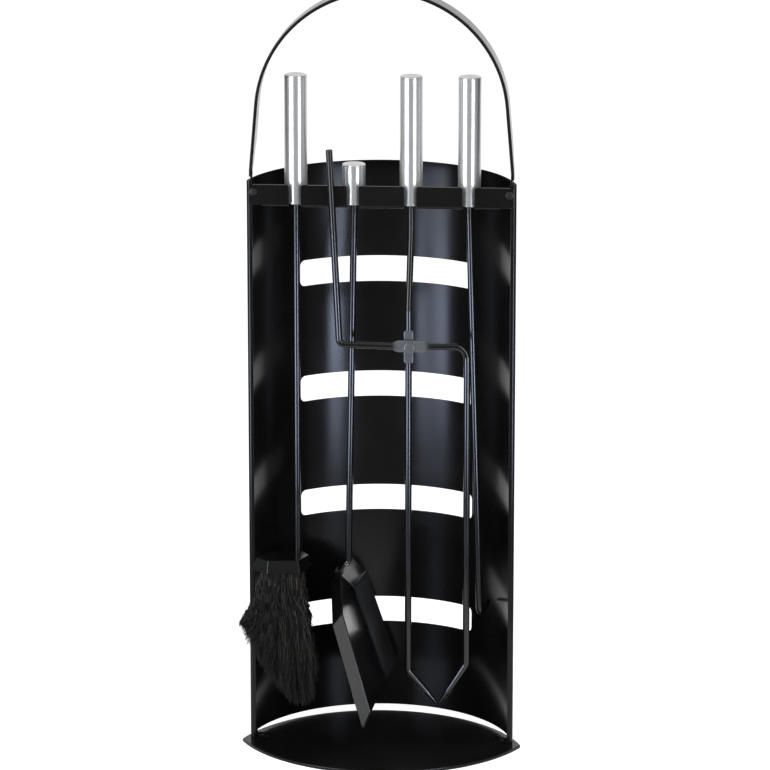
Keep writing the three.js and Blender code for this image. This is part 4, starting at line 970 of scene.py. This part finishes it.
# ------------------------------------------------------------------ shovel
PAN_HEIGHT = 13.9 * MM
PAN_FLARE = 10.3 * MM           # how far a wall leans out over its height
PAN_SHOULDER_FLARE = 14 * MM
PAN_WALL_END = 79 * MM          # where the side walls start to slant down to the lip
PAN_FLOOR = [Vector((u * MM, v * MM)) for u, v in (
    (-27.5, -15), (0, -56.65), (94.8, -67.9), (94.8, 67.9), (0, 56.65), (-27.5, 15))]
HEEL_LEAN = PAN_FLARE / PAN_HEIGHT
RIVET_RISE = 6 * MM             # above the pan's floor


def pan_frame():
    """Down the pan, across it and out of it, from the middle of its shoulder line."""
    tilt, yaw = math.radians(17.2), math.radians(4.6)
    turned = Matrix.Rotation(-yaw, 4, "Z") @ Matrix.Rotation(math.pi / 2 - tilt, 4, "Y")
    return Matrix.Translation((-35.5 * MM, TOOL_Y, 124.7 * MM)) @ turned


def heel_frame():
    """Down the heel wall's inner face and out of it, from the rivet."""
    place = Matrix.Translation((PAN_FLOOR[0].x - HEEL_LEAN * RIVET_RISE, 0, RIVET_RISE))
    return pan_frame() @ place @ Matrix.Rotation(math.atan2(PAN_HEIGHT, PAN_FLARE), 4, "Y")


class FIRESET_OT_shovel(bpy.types.Operator):
    """Shovel: a folded sheet pan, and a rod flattened to a tab and riveted to its heel"""
    bl_idname = "fireset.shovel"
    bl_label = "Shovel"

    def execute(self, context):
        self.pan(sizes().stand_sheet)
        self.bar(sizes().rod / 2)
        self.rivet()
        return {"FINISHED"}

    @staticmethod
    def pan(sheet):
        """A floor with its walls folded up on every side but the lip."""
        shoulder, wall = PAN_SHOULDER_FLARE, PAN_FLARE
        rim = pushed_out(PAN_FLOOR, [shoulder, wall, 0, wall, shoulder, wall])
        for start, end in ((1, 2), (4, 3)):
            share = (PAN_WALL_END - rim[start].x) / (rim[end].x - rim[start].x)
            rim[end] = rim[start].lerp(rim[end], share)
        bm = folded_tray([(*p, 0) for p in PAN_FLOOR], [(*p, PAN_HEIGHT) for p in rim], [2],
                         1.6 * MM, 4, -sheet, 0.3 * MM)
        move(bm, pan_frame())
        show("shovel_tray", bm, "shovel", ["shovel_pan"], "satin_black", 35)

    @staticmethod
    def bar(radius):
        """A leaning rod, bent over the heel's rim and forged to a tab that lies on the heel."""
        heel = heel_frame()
        gap, half_tab, above_rim = 0.3 * MM, 1.5 * MM, 3.5 * MM
        bend = -(PAN_HEIGHT - RIVET_RISE) * math.hypot(1, HEEL_LEAN) - above_rim

        def on_tab(down):
            return heel @ Vector((down, 0, gap + half_tab))

        x = TOOL_X["shovel"]
        line = bent_line([Vector((x, TOOL_Y, ROD_TOP)), Vector((x, TOOL_Y, ROD_KNEE)), on_tab(bend),
                          on_tab(bend + 1.9 * MM)], [60 * MM, 4 * MM])
        sections = sections_along(line[:-1], radius)
        # Down the tab from its bend, in millimetres: place, half width, half thickness and squareness
        for down, half_width, half_thickness, squareness in (
                (2.2, 3.6, 2.5, 2.2), (4, 4.5, 1.55, 3.5), (6, 4.5, 1.5, 5), (11, 4.5, 1.5, 5),
                (16.2, 4.5, 1.5, 5), (17.0, 4.1, 1.5, 4), (17.6, 3.2, 1.45, 3)):
            sections.append((on_tab(bend + down * MM), half_width * MM, half_thickness * MM, squareness))
        facing = heel.to_3x3() @ Vector((0, 0, 1))
        bar = forged_rod(sections, facing, 0.4 * MM)
        show("shovel_bar", bar, "shovel", ["shovel_rod"], "satin_black", 60)

    @staticmethod
    def rivet():
        """A shank through heel and tab, with a low dome at both ends."""
        low, high, shank = -1.8 * MM, 3.6 * MM, 1.6 * MM
        dome = [(3 * MM * math.cos(a), 1.2 * MM * math.sin(a)) for a in evenly(0, math.pi / 2, 6)]
        profile = [(r, low - z) for r, z in reversed(dome)] + [(shank, low), (shank, high)]
        profile += [(r, high + z) for r, z in dome]
        bm = turned_profile(profile, (0, 0, 0), 36)
        move(bm, heel_frame())
        show("shovel_rivet_head", bm, "shovel", ["shovel_rivet"], "zinc", 40)


# ------------------------------------------------------------------ brush
BRUSH_HEAD = [Vector((x * MM, y * MM)) for x, y in (
    (-110.5, -5), (-99, -13), (-73, -10), (-65, 8), (-72, 20), (-84, 23), (-101.5, 15))]


class FIRESET_OT_brush_head(bpy.types.Operator):
    """Brush: its straight rod and its folded seven-sided cap"""
    bl_idname = "fireset.brush_head"
    bl_label = "Brush rod and cap"

    def execute(self, context):
        low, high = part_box("brush_cap")[0].z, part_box("brush_cap")[1].z
        skirt = pushed_out(BRUSH_HEAD, [3 * MM])
        bm = folded_tray([(*p, high) for p in BRUSH_HEAD], [(*p, low) for p in skirt], [],
                         0.4 * MM, 2, 1.2 * MM, 0.25 * MM)
        show("brush_hood", bm, "brush", ["brush_cap"], "satin_black", 35)

        x = TOOL_X["brush"]
        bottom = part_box("brush_rod")[0].z
        line = [Vector((x, TOOL_Y, z)) for z in evenly(ROD_TOP, bottom, 4)]
        bar = forged_rod(sections_along(line, sizes().rod / 2))
        show("brush_bar", bar, "brush", ["brush_rod"], "satin_black", 60)
        return {"FINISHED"}


def span_at(points, x):
    """The front and the back of a closed outline at one position across."""
    crossings = []
    for a, b in zip(points, points[1:] + points[:1]):
        if (a.x - x) * (b.x - x) < 0:
            crossings.append(a.y + (b.y - a.y) * (x - a.x) / (b.x - a.x))
    return min(crossings), max(crossings)


# Where the fibres end, from the tuft's left corner round its foot to the right, as x and z in millimetres
TUFT_TIPS = [(-125.3, 115), (-115.5, 92), (-103, 71), (-88, 49), (-72, 37), (-60, 44), (-54, 72)]
CLUMP = 8                       # fibres that wave together
STRAND_RINGS = 11
ROOT_INSET, SLAB_INSET = 2.4 * MM, 1.5 * MM     # from the edge of the head
SLAB_HEIGHT = 5 * MM


def curve_through(points, share):
    """The place on a smooth curve through the points, a share of the way along it."""
    place = share * (len(points) - 1)
    k = min(int(place), len(points) - 2)
    t = place - k
    near = [points[min(max(k + i, 0), len(points) - 1)] for i in (-1, 0, 1, 2)]
    return [0.5 * (2 * p1 + (p2 - p0) * t + (2 * p0 - 5 * p1 + 4 * p2 - p3) * t ** 2
                   + (3 * p1 - p0 - 3 * p2 + p3) * t ** 3) for p0, p1, p2, p3 in zip(*near)]


def straight_strand():
    """One strand of three sides, from 0 to 1 along Z, that every fibre is bent from."""
    bm = bmesh.new()
    bmesh.ops.create_cone(bm, cap_ends=True, segments=3, radius1=1, radius2=1, depth=1)
    bmesh.ops.translate(bm, verts=bm.verts, vec=(0, 0, 0.5))
    upright = [e for e in bm.edges if abs(e.verts[0].co.z - e.verts[1].co.z) > 0.5]
    bmesh.ops.subdivide_edges(bm, edges=upright, cuts=STRAND_RINGS - 1, use_grid_fill=True)
    return mesh_from("strand", bm)


class Fibres:
    """Bends copies of one straight strand into fibres that hang from the brush's head."""

    def __init__(self, tuft, slab_bottom):
        self.tuft = tuft
        self.chance = random.Random(tuft.seed)
        self.strand = straight_strand()
        self.roots = pushed_out(BRUSH_HEAD, [-ROOT_INSET])
        self.left = min(p.x for p in self.roots) + 1.2 * MM
        self.right = max(p.x for p in self.roots) - 1.2 * MM
        self.root_z = slab_bottom + 1 * MM

    def clump(self, bm, across, back):
        """A few fibres that wave together and draw in towards one another at their tips."""
        chance = self.chance
        phase, turn = chance.uniform(0, 2 * math.pi), chance.uniform(0, 2 * math.pi)
        wave = self.tuft.crimp * chance.uniform(0.5, 1.3)
        trim = (0.06 + 0.16 * across) * chance.random() ** 2.2
        gather = chance.uniform(0.2, 0.7)
        heart = self.path(across, back)[2]
        for _ in range(CLUMP):
            root, shoulder, tip = self.path(across + chance.gauss(0, 0.03), back + chance.gauss(0, 0.16))
            tip = tip.lerp(heart, gather).lerp(shoulder, min(trim + chance.uniform(0, 0.06), 0.3))
            self.fibre(bm, (root, shoulder, tip), phase, turn, wave)

    def path(self, across, back):
        """Where a fibre starts, turns and ends, from its place across the head, 0 to 1, and back, -1 to 1."""
        across, back = min(max(across, 0.01), 0.99), min(max(back, -0.97), 0.97)
        x = self.left + (self.right - self.left) * across
        front_y, back_y = span_at(self.roots, x)
        sweep = (-12 + 8 * across + back * (8 + 3.5 * across)) * MM
        root = Vector((x, front_y + (back_y - front_y) * (back + 1) / 2, self.root_z))
        shoulder = Vector(((-109 + 43 * across) * MM, sweep, (140 - 8 * across) * MM))
        x, z = curve_through(TUFT_TIPS, across)
        return root, shoulder, Vector((x * MM, sweep, z * MM))

    def fibre(self, bm, path, phase, turn, wave):
        """One crimped fibre along a curve, thinner towards its tip and with its own shade of dye."""
        chance = self.chance
        root, shoulder, tip = path
        phase += chance.gauss(0, 0.5)
        control = shoulder.lerp(shoulder * 2 - (root + tip) / 2, 0.75)
        waves = 2 * math.pi * (tip - root).length / self.tuft.crimp_length
        radius = self.tuft.strand / 2 * chance.uniform(0.7, 1.15)
        along = (tip - root).normalized()
        first = Vector((math.cos(turn), math.sin(turn), 0))
        first = (first - along * first.dot(along)).normalized()
        second = along.cross(first)
        shade = chance.random() ** 2
        shades = bm.verts.layers.float["shade"]
        begin = len(bm.verts)
        bm.from_mesh(self.strand)
        bm.verts.ensure_lookup_table()
        for v in bm.verts[begin:]:
            t = v.co.z
            centre = root * (1 - t) ** 2 + control * 2 * t * (1 - t) + tip * t * t
            swing = wave * min(1, t * 2.5)
            centre += first * swing * math.sin(phase + waves * t)
            centre += second * swing * 0.6 * math.cos(1.7 + phase + waves * 0.8 * t)
            size = radius * (1 - 0.75 * t ** 2)
            v.co = centre + (first * v.co.x + second * v.co.y) * size
            v.co.x = max(v.co.x, CAD_BOX[0][0])
            v[shades] = shade


class FIRESET_OT_tuft(bpy.types.Operator):
    """Wavy fibres in four quarters, swept to one side as they hang"""
    bl_idname = "fireset.tuft"
    bl_label = "Fibres"

    def execute(self, context):
        tuft = context.scene.fireset_tuft
        slab_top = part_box("brush_bristles_1")[1].z
        slab_bottom = slab_top - SLAB_HEIGHT
        fibres = Fibres(tuft, slab_bottom)
        for quarter in range(4):
            bm = bmesh.new()
            bm.verts.layers.float.new("shade")
            for _ in range(tuft.strands // CLUMP):
                crowded = 1.9 if quarter == 0 else 1    # the left corner is the fullest
                across = (quarter + fibres.chance.random() ** crowded) / 4
                fibres.clump(bm, across, 1 - 2 * fibres.chance.random())
            borders = [fibres.left + (fibres.right - fibres.left) * q / 4 for q in (quarter, quarter + 1)]
            add_part(bm, self.slab(slab_bottom, slab_top, borders, quarter))
            name = f"fibres_{quarter + 1}"
            show_mesh(name, mesh_from(name, bm), "brush", [f"brush_bristles_{quarter + 1}"], "fibre", 70)
        bpy.data.meshes.remove(fibres.strand)
        return {"FINISHED"}

    @staticmethod
    def slab(bottom, top, borders, quarter):
        """The quarter's share of the block that holds the roots."""
        slab = bmesh.new()
        slab.faces.new([slab.verts.new((*p, bottom)) for p in pushed_out(BRUSH_HEAD, [-SLAB_INSET])])
        raised(slab, top - bottom)
        for x, outward, wanted in ((borders[0], -1, quarter > 0), (borders[1], 1, quarter < 3)):
            if wanted:
                cut = bmesh.ops.bisect_plane(
                    slab, geom=slab.verts[:] + slab.edges[:] + slab.faces[:], plane_co=(x, 0, 0),
                    plane_no=(outward, 0, 0), clear_outer=True)["geom_cut"]
                bmesh.ops.edgeloop_fill(slab, edges=[g for g in cut if isinstance(g, bmesh.types.BMEdge)])
        bmesh.ops.recalc_face_normals(slab, faces=slab.faces)
        return slab


# ------------------------------------------------------------------ stage
CAMERA_PLACE = (0.280, -3.857, 1.362)
CAMERA_TURN = (1.3105, 0, 0.0716)
CARD_DISTANCE = 0.9
PAPER_LIFT = 0.6                # what the floor glows with to the eye and in mirrors
ROOM_LIGHT = 0.5                # what the white surroundings give the pieces
LOW_CARD = (0.006, 0.255)       # feet and heads of the cards that the wall mirrors
HIGH_CARD = (0.3, 1.5)          # and of those that the grips mirror
COOL, PALE, CLOTH = linear("#d4e2ff"), linear("#f8fcff"), linear("#fafdff")
LEFT_LIGHT, RIGHT_LIGHT, TOP_LIGHT = linear("#eff6ff"), linear("#f6faff"), linear("#ffffff")


class FIRESET_OT_stage(bpy.types.Operator):
    """Pale floor, white surroundings, soft lamps and the camera"""
    bl_idname = "fireset.stage"
    bl_label = "Stage"

    def execute(self, context):
        stage = context.scene.fireset_stage
        bm = bmesh.new()
        bmesh.ops.create_grid(bm, x_segments=1, y_segments=1, size=6)
        mesh = mesh_from("studio_floor", bm)
        floor = bpy.data.objects.new("studio_floor", mesh)
        context.scene.collection.objects.link(floor)
        mesh.materials.append(self.floor_finish(stage))
        self.surroundings(context.scene)
        self.grey_screen(stage.screen)
        for name, azimuth, width, strength in (
                ("left", -44, 0.46, stage.left_card), ("right", 41, 0.22, stage.right_card)):
            self.card(f"{name}_low_card", azimuth, width, LOW_CARD, strength, COOL)
            self.card(f"{name}_high_card", azimuth, width, HIGH_CARD, stage.high_cards, PALE)
        self.lamp("left_softbox", (-1.05, -1.15, 0.62), (0.95, 1.5), stage.key, LEFT_LIGHT)
        self.lamp("right_softbox", (0.85, -1.2, 0.7), (0.32, 1.6), stage.fill, RIGHT_LIGHT)
        self.lamp("overhead_softbox", (0.1, -0.3, 2.2), (1.6, 1.2), stage.top, TOP_LIGHT)
        data = bpy.data.cameras.new("camera")
        data.lens = stage.lens
        camera = bpy.data.objects.new("camera", data)
        camera.location = CAMERA_PLACE
        camera.rotation_euler = CAMERA_TURN
        context.scene.collection.objects.link(camera)
        context.scene.camera = camera
        context.scene.view_settings.view_transform = "Standard"
        return {"FINISHED"}

    @staticmethod
    def floor_finish(stage):
        """Matt seamless paper, lifted towards white where it is seen or mirrored; it keeps the shadow."""
        material = bpy.data.materials.new("seamless_paper")
        material.use_nodes = True
        tree = material.node_tree
        tree.nodes.clear()
        seen = seen_by_eye_or_mirror(tree)
        paper = add_node(tree, "ShaderNodeBsdfDiffuse", {"Color": (*stage.floor, 1)})
        lift = add_node(tree, "ShaderNodeMath", {"operation": "MULTIPLY", 1: PAPER_LIFT}, {0: seen})
        glow = add_node(tree, "ShaderNodeEmission", {"Color": (1, 1, 1, 1)}, {"Strength": lift.outputs[0]})
        both = add_node(tree, "ShaderNodeAddShader", None, {0: paper.outputs[0], 1: glow.outputs[0]})
        add_node(tree, "ShaderNodeOutputMaterial", None, {"Surface": both.outputs[0]})
        return material

    @staticmethod
    def grey_screen(strength):
        """A grey cloth on the floor and round the front, only in reflections, so that black stays black."""
        bm = bmesh.new()
        path = [(0.45, 0.004), (2.4, 0.004), (2.5, 0.1), (2.5, 3.2)]
        verts = [bm.verts.new((0, -radius, height)) for radius, height in path]
        edges = [bm.edges.new(pair) for pair in zip(verts, verts[1:])]
        reach = math.radians(125)
        bmesh.ops.rotate(bm, verts=verts, cent=(0, 0, 0), matrix=Matrix.Rotation(-reach, 3, "Z"))
        bmesh.ops.spin(bm, geom=verts + edges, cent=(0, 0, 0), axis=(0, 0, 1), angle=2 * reach, steps=48,
                       use_merge=False, use_duplicate=False)
        mirrored_only("grey_screen", bm, strength, CLOTH)

    @staticmethod
    def card(name, azimuth, width, heights, strength, tint):
        """A bright upright card to one side, which only reflections show."""
        bottom, top = heights
        bm = bmesh.new()
        bmesh.ops.create_grid(bm, x_segments=1, y_segments=1, size=0.5)
        bmesh.ops.scale(bm, verts=bm.verts, vec=(width, top - bottom, 1))
        away = Matrix.Translation((0, -CARD_DISTANCE, (top + bottom) / 2))
        upright = Matrix.Rotation(math.pi / 2, 4, "X")
        move(bm, Matrix.Rotation(math.radians(azimuth), 4, "Z") @ away @ upright)
        mirrored_only(name, bm, strength, tint)

    @staticmethod
    def surroundings(scene):
        """Surroundings that are white to the eye and in mirrors, and dimmer as light on the pieces."""
        world = bpy.data.worlds.new("studio")
        scene.world = world
        world.use_nodes = True
        tree = world.node_tree
        tree.nodes.clear()
        seen = seen_by_eye_or_mirror(tree)
        strength = add_node(tree, "ShaderNodeMapRange", {"To Min": ROOM_LIGHT}, {"Value": seen})
        shell = add_node(tree, "ShaderNodeBackground", {"Color": (1, 1, 1, 1)},
                         {"Strength": strength.outputs[0]})
        add_node(tree, "ShaderNodeOutputWorld", None, {"Surface": shell.outputs[0]})

    @staticmethod
    def lamp(name, place, size, power, tint):
        """A soft lamp turned to the middle of the stand."""
        data = bpy.data.lights.new(name, "AREA")
        data.shape = "RECTANGLE"
        data.size, data.size_y = size
        data.energy = power
        data.color = tint
        lamp = bpy.data.objects.new(name, data)
        lamp.location = place
        lamp.rotation_euler = (Vector((0, 0, 0.3)) - Vector(place)).to_track_quat("-Z", "Y").to_euler()
        lamp.visible_camera = False
        lamp.visible_glossy = False
        bpy.context.scene.collection.objects.link(lamp)


def mirrored_only(name, bm, strength, tint):
    """Makes a bmesh part of the stage that glows in reflections and is nowhere else to be seen."""
    material = bpy.data.materials.new(name)
    material.use_nodes = True
    tree = material.node_tree
    tree.nodes.clear()
    glow = add_node(tree, "ShaderNodeEmission", {"Color": (*tint, 1), "Strength": strength})
    add_node(tree, "ShaderNodeOutputMaterial", None, {"Surface": glow.outputs[0]})
    mesh = mesh_from(name, bm)
    mesh.materials.append(material)
    piece = bpy.data.objects.new(name, mesh)
    for ray in ("camera", "diffuse", "transmission", "volume_scatter", "shadow"):
        setattr(piece, f"visible_{ray}", False)
    bpy.context.scene.collection.objects.link(piece)


def seen_by_eye_or_mirror(tree):
    """1 for rays that come from the eye, off a mirror or through glass, and 0 for the rest."""
    path = add_node(tree, "ShaderNodeLightPath")
    total = path.outputs["Is Camera Ray"]
    for other in ("Is Glossy Ray", "Is Transmission Ray"):
        total = add_node(tree, "ShaderNodeMath", {"operation": "MAXIMUM"},
                         {0: total, 1: path.outputs[other]}).outputs[0]
    return total


# ------------------------------------------------------------------ add-on
OPERATORS = (
    FIRESET_OT_stand, FIRESET_OT_base, FIRESET_OT_rail, FIRESET_OT_hoop, FIRESET_OT_fasteners,
    FIRESET_OT_grips, FIRESET_OT_brush_head, FIRESET_OT_tuft, FIRESET_OT_shovel, FIRESET_OT_tongs,
    FIRESET_OT_poker, FIRESET_OT_stage)


class FIRESET_PT_panel(bpy.types.Panel):
    """Lists the pieces, in the order in which they are made"""
    bl_idname = "FIRESET_PT_panel"
    bl_label = "Fireplace tool set"
    bl_space_type = "VIEW_3D"
    bl_region_type = "UI"
    bl_category = "Fireplace set"

    def draw(self, context):
        for operator in OPERATORS:
            self.layout.operator(operator.bl_idname)
        for group in ("fireset_sizes", "fireset_tuft", "fireset_colours", "fireset_stage"):
            values = getattr(context.scene, group)
            column = self.layout.column()
            for name in values.bl_rna.properties.keys():
                if name not in ("rna_type", "name"):
                    column.prop(values, name)


PROPERTY_GROUPS = {
    "fireset_sizes": FiresetSizes, "fireset_tuft": FiresetTuft,
    "fireset_colours": FiresetColours, "fireset_stage": FiresetStage,
}


def register():
    for group in (*PROPERTY_GROUPS.values(), *OPERATORS, FIRESET_PT_panel):
        bpy.utils.register_class(group)
    for name, group in PROPERTY_GROUPS.items():
        setattr(bpy.types.Scene, name, bpy.props.PointerProperty(type=group))


def unregister():
    for name in PROPERTY_GROUPS:
        delattr(bpy.types.Scene, name)
    for group in (FIRESET_PT_panel, *reversed(OPERATORS), *PROPERTY_GROUPS.values()):
        bpy.utils.unregister_class(group)


def main():
    """Makes every piece and the stage."""
    register()
    for operator in OPERATORS:
        family, name = operator.bl_idname.split(".")
        getattr(getattr(bpy.ops, family), name)()


if __name__ == "__main__":
    main()
